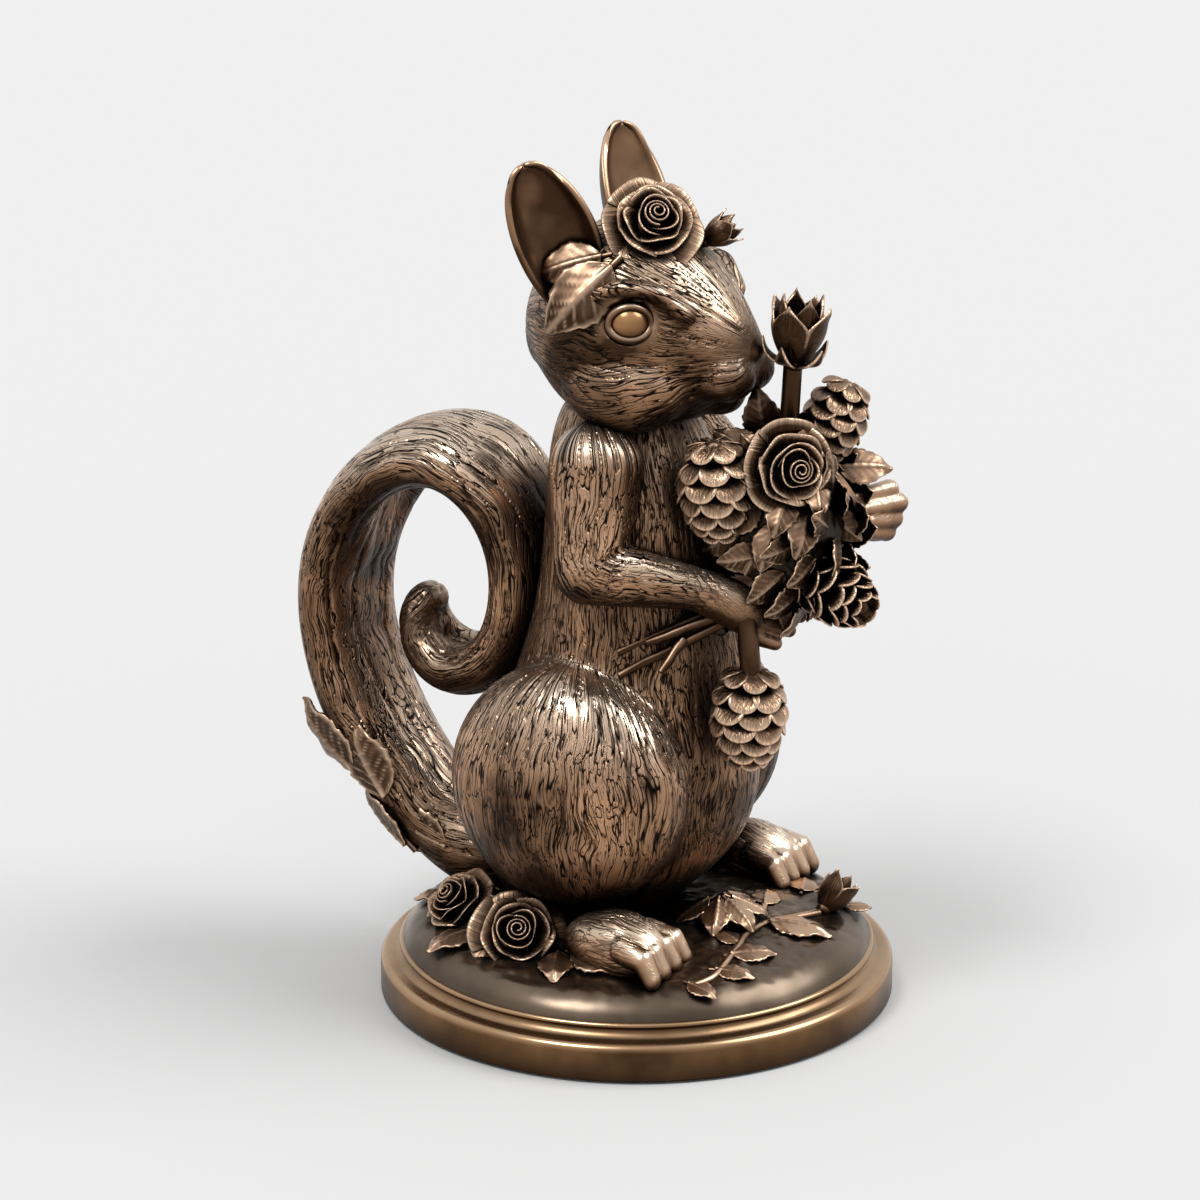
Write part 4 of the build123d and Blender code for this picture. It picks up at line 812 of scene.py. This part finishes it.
def petal_bend(foot, rim, height, half_width, curl, seed):
    """The bend of one petal of a ring."""
    span = math.asin(min(1, half_width / rim))
    belly = foot + (rim - foot) * 0.35

    def shape(u, v):
        middle = 2 * belly - (foot + rim) / 2
        reach = (1 - v) ** 2 * foot + 2 * v * (1 - v) * middle + v * v * rim
        lip = smooth(v, 0.7, 1.0)
        ruffle = 0.02 * np.sin(u * 5 + seed) * v
        reach = reach + curl * lip + ruffle
        droop = (0.4 + 0.5 * np.abs(u)) * curl * lip**2
        rise = height * v * (1.03 - 0.30 * np.abs(u) ** 1.7) - droop
        turn = span * 1.1 * u * (0.45 + 0.55 * np.sin(np.minimum(v * 1.35, 1) * math.pi / 2))
        places = np.stack((reach * np.cos(turn), reach * np.sin(turn), rise), axis=1)
        side_worn = 0.9 * smooth(np.abs(u), 0.88, 1.0) * smooth(v, 0.3, 0.7)
        worn = np.maximum(smooth(v, 0.88, 1.0), side_worn)
        return places, worn, np.stack((turn * reach, u * 0 + seed, rise), axis=1)

    return shape


def heart_bend(u, v):
    """The spiral wall in the middle of a rose."""
    share = (u + 1) / 2
    turn = share * heart_turns * 2 * math.pi
    reach = 0.03 + 0.22 * share + 0.03 * smooth(v, 0.6, 1.0)
    rise = 0.35 + (0.56 - 0.1 * share) * v
    places = np.stack((reach * np.cos(turn), reach * np.sin(turn), rise), axis=1)
    return places, smooth(v, 0.7, 1.0), np.stack((turn * reach, u * 0, rise), axis=1)


# For each ring: petals, foot and rim radius, height, half width, first turn, curl.
rose_rings = (
    (3, 0.16, 0.34, 0.80, 0.33, 25, 0.03),
    (4, 0.20, 0.48, 0.74, 0.38, 40, 0.06),
    (5, 0.24, 0.64, 0.62, 0.42, 20, 0.09),
    (5, 0.34, 0.88, 0.42, 0.56, 50, 0.12),
)
rose_parts = [shaped_sheet(44, 4, heart_bend, petal_wall)]
for ring, (count, foot, rim, height, half_width, turn, curl) in enumerate(rose_rings):
    for k in range(count):
        rim_here = rim * random.uniform(0.93, 1.03)
        bend = petal_bend(foot, rim_here, height, half_width, curl, ring * 3 + k)
        petal = shaped_sheet(10, 8, bend, petal_wall)
        petal = turned(turned(petal, "Y", 6 + random.uniform(-4, 4)), "X", random.uniform(-5, 5))
        rose_parts.append(turned(petal, "Z", turn + 360 * k / count + random.uniform(-6, 6)))
bpy.ops.mesh.primitive_uv_sphere_add(segments=20, ring_count=10, radius=0.42)
rose_cup = take_part(bpy.context.object)
rose_parts.append((rose_cup[0] * (1, 1, 0.45) + (0, 0, 0.06), *rose_cup[1:]))
print("a rose has", len(rose_parts), "parts")

# %% [markdown]
# Four roses sit on the ornament. Each is the same unit rose, scaled to its size in millimetres
# and stood at its place; the two directions say where it faces and how it is turned.

# %% Roses
rose_places = {
    "bouquet_rose": (
        15.5, (-7.84, -55.64, 186.63), (-0.6289, -0.7506, 0.2029), (-0.7665, 0.6422, 0.0)
    ),
    "crown_rose": (
        16.0, (-5.27, -6.85, 256.04), (-0.5533, -0.503, 0.664), (0.7682, 0.0, 0.6402)
    ),
    "base_rose_front": (
        16.0, (-47.85, 17.42, 29.4), (-0.7171, -0.3586, 0.5976), (-0.6402, 0.0, -0.7682)
    ),
    "base_rose_rear": (
        13.5, (-33.06, 45.5, 28.92), (-0.5997, 0.3498, 0.7197), (0.7682, 0.0, 0.6402)
    ),
}
for node, place in rose_places.items():
    rose = gather(node + "_petals", stand(rose_parts, *place))
    finish_piece(rose, petal_metal, "bronze_floral", node)

# %% [markdown]
# A bud is a half-open tulip of pointed petals. The large one in the bouquet has five thorny
# sepals and a thick stem that goes down into the flowers.


# %% Buds
bud_wall = 0.04


def bud_bend(width, flare, seed):
    """The bend of one pointed bud petal."""

    def shape(u, v):
        belly = width * np.sin(np.minimum(v * 1.25, 1) * math.pi * 0.62)
        reach = 0.10 + belly + flare * smooth(v, 0.72, 1.0)
        rise = 0.06 + 0.92 * v - 0.06 * np.abs(u) * v
        width_here = np.sin(math.pi * np.minimum(0.12 + v * 0.88, 1) ** 0.9) * 1.25
        turn = u * 0.95 * np.clip(width_here, 0.04, 1)
        places = np.stack((reach * np.cos(turn), reach * np.sin(turn), rise), axis=1)
        side_worn = 0.9 * smooth(np.abs(u), 0.8, 1.0) * smooth(v, 0.2, 0.6)
        worn = np.maximum(side_worn, smooth(v, 0.86, 1.0))
        return places, worn, np.stack((turn * reach, u * 0 + seed, rise), axis=1)

    return shape


def sepal_bend(u, v):
    """The bend of one sepal that reaches out and curls up."""
    reach = 0.06 + 0.34 * np.sin(v * math.pi / 2) + 0.04 * v**3
    rise = 0.06 + 0.10 * v + 0.20 * v**3
    side = u * 0.12 * np.sin(math.pi * np.clip(0.15 + v * 0.85, 0, 1)) ** 0.8
    places = np.stack((reach, side, rise - 0.25 * np.abs(side)), axis=1)
    return places, smooth(np.abs(u), 0.5, 1.0), np.stack((side, u * 0, v), axis=1)


bud_parts = []
for k in range(4):
    inner = shaped_sheet(8, 8, bud_bend(0.17, 0.0, k), bud_wall)
    outer = shaped_sheet(8, 8, bud_bend(0.24, 0.07, k + 5), bud_wall)
    bud_parts.append(turned(inner, "Z", 90 * k + 45))
    bud_parts.append((turned(outer, "Z", 90 * k)[0] * (1, 1, 0.9), *outer[1:]))
bpy.ops.mesh.primitive_uv_sphere_add(segments=16, ring_count=10, radius=0.16)
calyx = take_part(bpy.context.object)
bud_parts.append((calyx[0] + (0, 0, 0.1), *calyx[1:]))
sepal = shaped_sheet(4, 8, sepal_bend, bud_wall)
sepals = [turned(sepal, "Z", 72 * k + 18) for k in range(5)]

bud_places = {
    "rosebud": (25.0, (2.06, -53.33, 216.08), (0.0496, -0.119, 0.9917), (0.0, 0.9929, 0.1191)),
    "crown_bud": (14.0, (4.96, -19.72, 251.35), (0.4467, -0.7444, 0.4963), (0.0, -0.5547, -0.8321)),
    "vine_bud": (16.0, (23.46, -55.27, 26.88), (0.755, -0.2435, 0.6089), (-0.6278, 0.0, 0.7784)),
}
for node, place in bud_places.items():
    parts = stand(bud_parts, *place)
    if node == "rosebud":
        parts += stand(sepals, *place)
        parts.append(rod([(2.06, -51.65, 188.0), (2.06, -53.33, 218.0)], (3.1, 3.0)))
    finish_piece(gather(node + "_petals", parts), petal_metal, "bronze_floral", node)

# %% [markdown]
# A pine cone is a core with rows of woody scales. Each scale is a small thick shovel with a
# worn rim, and the rows are set half a step apart.


# %% Pine cones
def scale_bend(u, v):
    """The bend of one cone scale, from its root inside the core to its rim."""
    widening = 0.05 + 0.13 * np.sin(np.minimum(v * 1.1, 1) * math.pi / 2)
    side = u * widening * (1 - 0.3 * smooth(v, 0.75, 1.0))
    reach = 0.31 * v * (1 - 0.10 * u * u)
    rise = 0.05 * v**2 + 0.04 * smooth(v, 0.7, 1.0) - 0.04 * u * u
    worn = np.maximum(smooth(v, 0.74, 1.0), 0.8 * smooth(np.abs(u), 0.75, 1.0))
    return np.stack((reach, side, rise), axis=1), worn, np.stack((side, u * 0, reach), axis=1)


cone_scale = shaped_sheet(5, 4, scale_bend, 0.035)
cone_parts = []
cone_sizes = (0.78, 0.98, 1.06, 1.06, 0.98, 0.84, 0.64)
scales_round = 7
for row, size in enumerate(cone_sizes):
    travel = row / (len(cone_sizes) - 1)
    height = 0.08 + 0.76 * travel
    core_reach = 0.17 * math.sqrt(max(0.05, 1 - (2 * height - 1) ** 2))
    for k in range(scales_round):
        raised = turned(cone_scale, "Y", -8 - 40 * travel + random.uniform(-6, 6))
        at_core = (raised[0] * size + (core_reach * 0.7, 0, height - 0.03), *raised[1:])
        round_turn = (row * 180 + 360 * k) / scales_round + random.uniform(-4, 4)
        cone_parts.append(turned(at_core, "Z", round_turn))
bpy.ops.mesh.primitive_uv_sphere_add(segments=20, ring_count=14, radius=0.5)
cone_core = take_part(bpy.context.object)
cone_parts.append((cone_core[0] * (0.38, 0.38, 0.94) + (0, 0, 0.48), *cone_core[1:]))

cone_places = {
    "pine_cone_left": (
        33.0, (-20.16, -36.74, 196.24), (0.0796, -0.0597, -0.995), (-0.9968, 0.0, -0.0797)
    ),
    "pine_cone_upper": (
        28.0, (18.78, -65.3, 209.26), (-0.2063, 0.3094, -0.9283), (0.0, -0.9487, -0.3162)
    ),
    "pine_cone_lower": (
        29.0, (1.18, -57.32, 150.98), (-0.2202, -0.9358, -0.2752), (0.0, 0.2822, -0.9594)
    ),
    "pine_cone_hanging": (
        33.0, (-18.18, -49.76, 123.08), (0.0, 0.04, -0.9992), (0.0, -0.9992, -0.04)
    ),
}
for node, place in cone_places.items():
    parts = stand(cone_parts, *place)
    if node == "pine_cone_hanging":
        parts.append(rod([(-16.5, -47.0, 140.0), (-18.18, -49.76, 121.0)], (3.2, 3.4)))
    finish_piece(gather(node + "_scales", parts), cone_metal, "bronze_floral", node)

# %% [markdown]
# Leaves are toothed, folded along a rib, and lined with side veins. The rib and the veins stand
# up a little, so they and the teeth are worn bright. One leaf is made, as all are of one kind.


# %% Leaf part
leaf_teeth = 7
rib_width = 0.026
vein_width = 0.08


def leaf_bend(u, v):
    """The bend of one toothed leaf, from its stalk to its tip."""
    half = 0.34 * np.sin(math.pi * np.clip(v, 0.0, 1.0) ** 0.8) + 0.012
    tooth = (v * leaf_teeth) % 1.0
    side = u * half * (0.92 + 0.12 * tooth * np.abs(u) ** 4)
    stripe = (v * leaf_teeth - 1.7 * np.abs(u) * half / 0.3) % 1.0
    from_vein = np.minimum(stripe, 1 - stripe)
    vein = np.exp(-((from_vein / vein_width) ** 2)) * smooth(1 - np.abs(u), 0.05, 0.3)
    rib = np.exp(-((side / rib_width) ** 2)) * (1 - 0.6 * v)
    rise = 0.065 - 0.20 * np.abs(side) + 0.05 * np.sin(math.pi * v) - 0.08 * smooth(v, 0.75, 1.0)
    rise = rise + 0.03 * rib + 0.008 * vein + 0.014 * smooth(np.abs(u), 0.7, 1.0) * np.sin(v * 19)
    worn = np.maximum(0.95 * smooth(np.abs(u), 0.82, 1.0), np.maximum(0.8 * rib, 0.4 * vein))
    return np.stack((v, side, rise), axis=1), np.clip(worn, 0, 1), np.stack((u, u * 0, v), axis=1)


leaf_part = shaped_sheet(16, 35, leaf_bend, 0.035, rounds=0)
leaf_stalk = rod([(-0.14, 0, 0.01), (0.03, 0, 0.03), (0.4, 0, 0.05)], (0.045, 0.042, 0.02))
leaf_parts = [leaf_part, leaf_stalk]
print("a leaf has", len(leaf_part[1]), "faces")

# %% [markdown]
# The leaves stand where the solids hold theirs, each by its size, root, facing and heading. The
# bouquet is fuller than its solids, so more blades are spread evenly over its mossy core by the
# golden angle, as seeds sit in a flower head. Where the squirrel's chest is, none is placed.


# %% Leaves
def bouquet_filling(count=64):
    """Extra blades round the bouquet's core, roots inside it and tips outwards."""
    core_middle = Vector((2.9, -50.6, 165.2))
    core_reach, core_rise = 17.5, 29
    golden_angle = 2.39996
    chest_y = -42
    parts = []
    for k in range(count):
        level = 0.85 - 1.7 * (k + 0.5) / count
        bearing = k * golden_angle
        belt = math.sqrt(1 - level * level)
        x, y = math.cos(bearing) * belt, math.sin(bearing) * belt
        outward = Vector((x, y, level * 0.61)).normalized()
        spot = core_middle + Vector((core_reach * x, core_reach * y, core_rise * level))
        if spot.y > chest_y:
            continue  # inside the chest, so no blade and no random draw
        chance = Vector((random.uniform(-1, 1), random.uniform(-1, 1), 0.4))
        heading = outward.cross(chance).normalized()
        heading = (heading + outward * 0.45 + Vector((0, 0, -0.3))).normalized()
        facing = (outward - heading * outward.dot(heading)).normalized()
        parts += stand(leaf_parts[:1], random.uniform(13, 17), spot, facing, heading)
    return parts


sprig_shift = (-2.2, 0.4, 0.3)
leaf_places = {
    "tail_sprig": (
        (30.0, (-15.3, 93.25, 64.45), (-0.8425, 0.4004, -0.3605), (0.0642, 0.739, 0.6707)),
        (27.0, (-16.86, 81.6, 57.32), (-0.9929, 0.0885, -0.0797), (-0.0289, 0.4702, 0.8821)),
        (25.5, (-13.12, 75.6, 40.71), (-0.6559, 0.5609, -0.5051), (0.112, 0.7341, 0.6698)),
        (24.0, (-12.05, 61.52, 42.13), (-0.9858, 0.029, -0.1656), (-0.033, 0.9325, 0.3598)),
    ),
    "bouquet_leaves": (
        (19.0, (16.58, -61.1, 180.74), (-0.5025, -0.5025, 0.7035), (0.6435, -0.7608, -0.0838)),
        (18.05, (4.04, -43.25, 190.04), (-0.8433, -0.527, 0.1054), (-0.0066, 0.2063, 0.9785)),
        (18.05, (-10.26, -50.6, 168.96), (-0.8081, -0.5051, 0.303), (-0.4404, 0.1765, -0.8803)),
        (17.1, (-6.96, -46.4, 187.56), (-0.7379, -0.4216, 0.527), (-0.1564, 0.8664, 0.4742)),
        (15.2, (5.14, -63.2, 169.89), (-0.8296, -0.5185, 0.2074), (0.3017, -0.7286, -0.6149)),
        (15.2, (-9.16, -54.8, 159.04), (-0.796, -0.597, 0.0995), (0.0865, -0.275, -0.9576)),
        (18.05, (19.44, -46.4, 171.44), (0.9283, 0.2063, 0.3094), (0.3461, -0.1745, -0.9218)),
        (17.1, (16.14, -41.15, 184.46), (0.742, 0.212, 0.636), (-0.2617, 0.965, -0.0164)),
    ),
    "crown_leaf": (
        (29.0, (-22.32, -2.56, 248.0), (-0.8636, -0.3615, 0.3515), (-0.5006, 0.532, -0.6829)),
        (21.75, (-20.46, 1.73, 250.01), (-0.8071, -0.2018, 0.5549), (-0.4181, 0.8589, -0.2957)),
    ),
    "base_leaves": (
        (19.0, (-44.92, 33.85, 27.57), (-0.1363, 0.1027, 0.9853), (-0.8178, 0.5497, -0.1704)),
        (18.05, (-17.38, 53.49, 27.57), (-0.0527, 0.1623, 0.9853), (-0.3045, 0.9371, -0.1707)),
        (20.9, (-50.04, -3.5, 28.56), (-0.1518, -0.0106, 0.9883), (-0.235, -0.9709, -0.0465)),
        (17.1, (-51.67, 0.9, 28.32), (-0.1568, 0.0027, 0.9876), (-0.9141, -0.379, -0.1441)),
        (19.0, (-12.99, 45.29, 29.01), (-0.0394, 0.1374, 0.9897), (0.3489, 0.93, -0.1153)),
    ),
    "vine_leaves": (
        (11.7, (-48.57, -43.73, 25.85), (-0.1474, -0.1327, 0.9801), (-0.2037, -0.9656, -0.1614)),
        (13.0, (-36.96, -47.31, 26.88), (-0.1122, -0.1436, 0.9833), (0.2728, -0.9559, -0.1085)),
        (15.6, (-26.16, -47.19, 27.95), (-0.0794, -0.1432, 0.9865), (0.6743, -0.7366, -0.0527)),
        (20.8, (1.64, -47.09, 29.01), (0.005, -0.1429, 0.9897), (0.3113, -0.9403, -0.1373)),
        (11.7, (-17.84, -46.47, 28.62), (-0.0541, -0.141, 0.9885), (0.2536, 0.9556, 0.1502)),
        (14.3, (12.92, -39.75, 29.74), (0.0392, -0.1206, 0.9919), (0.9276, 0.3736, 0.0088)),
        (14.3, (33.69, -43.12, 27.83), (0.1022, -0.1308, 0.9861), (0.9357, 0.3492, -0.0507)),
        (14.3, (39.08, -46.58, 26.74), (0.1186, -0.1413, 0.9828), (0.9202, -0.3563, -0.1623)),
        (11.7, (33.44, -57.92, 25.52), (0.1015, -0.1758, 0.9792), (0.8144, -0.5506, -0.1832)),
    ),
}
for node, places in leaf_places.items():
    parts = [part for place in places for part in stand(leaf_parts, *place)]
    if node == "bouquet_leaves":
        parts += bouquet_filling()
    if node == "tail_sprig":
        parts = [(points + sprig_shift, *rest) for points, *rest in parts]
    finish_piece(gather(node + "_blades", parts), leaf_metal, "bronze_floral", node)

# %% [markdown]
# Between the feet sits a mossy stone under a tuft of leaves. The vine is a bevelled curve that
# follows the ground, because a curve keeps one thickness through every bend. The bouquet's core
# is a mossy mass, roughened by a noise, and the sticks are snapped twigs with uneven knots.

# %% Stone, vine, core and twigs
def rough_at(places, *fractal_settings):
    """A rough noise at each place: dimension, lacunarity and octaves are its settings."""
    return np.array([noise.fractal(place, *fractal_settings) for place in places.tolist()])


bpy.ops.mesh.primitive_uv_sphere_add(segments=48, ring_count=24, radius=1)
stone = take_part(bpy.context.object)
stone_points = stone[0] * (9.0, 6.7, 6.7)
stone_bumps = rough_at(stone_points * 0.3, 0.8, 2.0, 3)
stone_points = stone_points * (1 + 0.1 * stone_bumps[:, None]) + (-3.34, -31.75, 30.85)
cluster = [(stone_points, *stone[1:])]
cluster_places = (
    ((-6.44, -32.87, 36.85), (-0.4202, -0.153, 0.8944), (-0.8405, -0.3059, -0.4472)),
    ((-4.57, -34.8, 36.85), (-0.1675, -0.4146, 0.8944), (-0.3351, -0.8293, -0.4472)),
    ((-1.89, -34.71, 36.85), (0.196, -0.402, 0.8944), (0.3921, -0.8039, -0.4472)),
    ((-0.16, -32.65, 36.85), (0.4299, -0.1233, 0.8944), (0.8598, -0.2465, -0.4472)),
    ((-6.04, -29.85, 36.85), (-0.3663, 0.2565, 0.8944), (-0.7327, 0.513, -0.4472)),
)
for origin, facing, heading in cluster_places:
    cluster += stand(leaf_parts, 15.0, origin, facing, heading)
finish_piece(gather("foliage_blades", cluster), leaf_metal, "bronze_floral", "foliage_cluster")

vine_path = [
    (-48.9, -45.6, 25.6), (-40.8, -48.6, 26.3), (-30.0, -48.0, 27.6), (-18.8, -46.5, 28.6),
    (-12.1, -45.2, 29.1), (-4.8, -45.35, 29.3), (2.4, -46.7, 29.1), (12.9, -51.6, 28.1),
    (22.2, -55.0, 27.1),
]
vine_line = curved_path(vine_path, 6)
vine_branch = curved_path([(-1.6, -46.0, 29.2), (6.0, -42.5, 29.6), (12.9, -39.8, 29.8)], 6)
vine_radius = 1.45
vine = [rod(line, [vine_radius] * len(line)) for line in (vine_line, vine_branch)]
finish_piece(gather("vine_stem", vine), leaf_metal, "bronze_floral", "base_vine")

core = cast_copy("bouquet_moss", "bouquet_core")
soften(core, 0.8, 4)
core_lumps = rough_at(points_of(core) * 0.16, 0.7, 2.1, 4)
move_points(core, points_of(core) + normals_of(core) * (0.9 * core_lumps)[:, None])
finish_piece(core, ground_metal, "bronze_floral", "bouquet_core")

twig_ends = (
    ((-13.56, -43.25, 142.92), (-31.16, -9.65, 125.56)),
    ((-14.66, -44.3, 138.58), (-32.7, -10.7, 118.74)),
    ((-15.76, -43.25, 140.44), (-30.06, -19.1, 129.9)),
    ((-23.46, -28.55, 130.52), (-32.7, -25.4, 121.84)),
)
twigs = []
knot_count = 10
for start, end in twig_ends:
    shares = [k / (knot_count - 1) for k in range(knot_count)]
    joints = [Vector(start).lerp(Vector(end), share) for share in shares]
    knots = [1.9 - 0.7 * share + random.uniform(-0.15, 0.2) for share in shares]
    twigs.append(rod([joint + 0.3 * noise.noise_vector(joint * 0.2) for joint in joints], knots))
finish_piece(gather("twig_sticks", twigs), cone_metal, "bronze_floral", "twig_bundle")

# %% [markdown]
# The plinth's band, cove and bead are one turned profile. The ground inside it is a turned
# dome whose points are then lifted over the mounds and roughened like cast soil.


# %% Plinth
ground_edge = 76
dome_top, dome_radius = 32.4, 329.55
shoulder_from, shoulder_radius = 66.12, 14
shoulder_reach, shoulder_rise = 63.31, 11.98


def turn_profile(title, profile, steps):
    """A solid of revolution from a profile of radius and height, in millimetres."""
    mesh = bpy.data.meshes.new(title)
    edges = [(k, k + 1) for k in range(len(profile) - 1)]
    mesh.from_pydata([(reach * MM, 0, height * MM) for reach, height in profile], edges, [])
    piece = bpy.data.objects.new(title, mesh)
    bpy.context.collection.objects.link(piece)
    use_modifier(
        piece, "SCREW", steps=steps, render_steps=steps, use_merge_vertices=True,
        merge_threshold=0.00001, use_normal_calculate=True,
    )
    return piece


def arc_points(middle, radius, start, end, steps):
    """Points of an arc in the profile, angles in degrees."""
    angles = [math.radians(start + (end - start) * k / steps) for k in range(steps + 1)]
    return [(middle[0] + radius * math.cos(a), middle[1] + radius * math.sin(a)) for a in angles]


def ground_height(reach):
    """Height of the bare dome at a distance from the axis."""
    if reach < shoulder_from:
        return dome_top - dome_radius + math.sqrt(dome_radius**2 - reach**2)
    return shoulder_rise + math.sqrt(shoulder_radius**2 - (reach - shoulder_reach) ** 2)


band_profile = [(0, 0.8), (82.9, 0.8)] + arc_points((82.9, 1.4), 0.6, -90, 0, 3)
band_profile += arc_points((80.9, 10.4), 2.6, 0, 90, 8)
band_profile += arc_points((79.6, 16.6), 3.6, 270, 180, 8)[1:-1]
band_profile += arc_points((ground_edge, 16.6), 1.3, 0, 90, 6)
reaches = [0, *np.linspace(1, ground_edge, 72)]
plinth = turn_profile("plinth_ground", [(reach, ground_height(reach)) for reach in reaches], 360)
ground = points_of(plinth)
lift = np.zeros(len(ground))
# For each mound: its distance as a share of the edge, its bearing and its radius.
mounds = (
    (0.52, -18, 13), (0.50, 20, 16), (0.60, 62, 12), (0.45, 100, 18),
    (0.52, 170, 15), (0.50, -160, 13), (0.42, -96, 13), (0.72, -12, 9),
)
for share, bearing, radius in mounds:
    outward = np.array((math.cos(math.radians(bearing)), math.sin(math.radians(bearing))))
    offset = ground[:, :2] - outward * share * ground_edge
    along = offset @ outward / radius
    aside = offset @ np.array((-outward[1], outward[0])) / (0.8 * radius)
    cap = 0.8 * radius * np.sqrt(np.clip(1 - along**2 - aside**2, 0, 1))
    top = ground_height(share * ground_edge) - 0.62 * radius + cap
    lift = np.maximum(lift, np.where(cap > 0, top - ground[:, 2], 0))
edge_room = smooth(ground_edge - np.hypot(ground[:, 0], ground[:, 1]), 1.0, 12.0)
soil = rough_at(ground * 0.2, 0.75, 2.1, 5)
ground[:, 2] += lift + (0.6 * soil + 0.1) * edge_room
move_points(plinth, ground)
plinth.data.materials.append(ground_metal)
band = turn_profile("plinth_band", band_profile, 256)
band.data.materials.append(band_metal)
join_into(plinth, band)
finish_piece(plinth, None, "bronze_base", "plinth")

# %% [markdown]
# The felt pad is soft, so it gets its own disc with a fibre texture. The screws, washers and
# dowels stay as they are packed; they sit inside and are plain brushed steel.

# %% Felt and steel
def speckled(title, scale, detail, colors, roughness, metallic):
    """A plain material whose colour wanders between two by a fine noise."""
    material = bpy.data.materials.new(title)
    material.use_nodes = True
    tree = material.node_tree
    shader = tree.nodes["Principled BSDF"]
    shader.inputs["Roughness"].default_value = roughness
    shader.inputs["Metallic"].default_value = metallic
    place = add_node(tree, "ShaderNodeTexCoord").outputs["Object"]
    grain = add_node(tree, "ShaderNodeTexNoise", Vector=place, Scale=scale, Detail=detail)
    first, second = ((*color, 1) for color in colors)
    color = blend_colors(tree, grain.outputs["Fac"], first, second)
    tree.links.new(color, shader.inputs["Base Color"])
    return material


low, high = (Vector(corner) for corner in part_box("felt_pad"))
bpy.ops.mesh.primitive_cylinder_add(vertices=160, radius=(high.x - low.x) / 2, depth=high.z - low.z)
pad = bpy.context.object
pad.name = "felt_disc"
pad.data.transform(Matrix.Translation((0, 0, (low.z + high.z) / 2)))
use_modifier(pad, "BEVEL", width=0.2 * MM, segments=2)
felt_colors = ((0.02, 0.03, 0.02), (0.07, 0.09, 0.06))
felt = speckled("felt", 900.0, 3.0, felt_colors, roughness=0.95, metallic=0.0)
finish_piece(pad, felt, "felt", "felt_pad")

steel_colors = ((0.50, 0.50, 0.52), (0.60, 0.60, 0.62))
steel = speckled("steel", 400.0, 2.0, steel_colors, roughness=0.35, metallic=1.0)
for node in ("figure_screws", "screw_washers", "neck_dowel", "tail_dowel"):
    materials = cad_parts[node].data.materials
    materials.clear()
    materials.append(steel)
print("felt and steel ready")

# %% [markdown]
# The floor is a wide pale plane, so the whole picture behind the ornament is that floor. An
# even sky lights it, with two wide soft suns: one lays the long shadow to the left of the
# picture, the other fills the shaded side. The floor's colour sets the pale background.

# %% Floor and light
bpy.ops.mesh.primitive_plane_add(size=60)
floor = bpy.context.object
floor.name = "floor"
paper = bpy.data.materials.new("paper")
paper.use_nodes = True
paper_shader = paper.node_tree.nodes["Principled BSDF"]
paper_shader.inputs["Base Color"].default_value = (0.66, 0.66, 0.66, 1)
paper_shader.inputs["Roughness"].default_value = 0.9
paper_shader.inputs["Specular IOR Level"].default_value = 0.0
floor.data.materials.append(paper)

world = bpy.data.worlds.new("sky")
bpy.context.scene.world = world
world.use_nodes = True
world.node_tree.nodes["Background"].inputs["Color"].default_value = (0.66, 0.66, 0.66, 1)


def add_sun(title, toward, strength, width):
    """A sun that shines from a direction; width is its angle in degrees."""
    data = bpy.data.lights.new(title, "SUN")
    data.energy = strength
    data.angle = math.radians(width)
    lamp = bpy.data.objects.new(title, data)
    bpy.context.collection.objects.link(lamp)
    lamp.rotation_euler = Vector(toward).to_track_quat("Z", "Y").to_euler()


add_sun("low_sun", (0.50, -1.0, 1.25), strength=1.5, width=40)
add_sun("high_sun", (-0.7, 0.2, 1.2), strength=1.1, width=20)
bpy.context.scene.view_settings.view_transform = "Standard"
print("light ready")
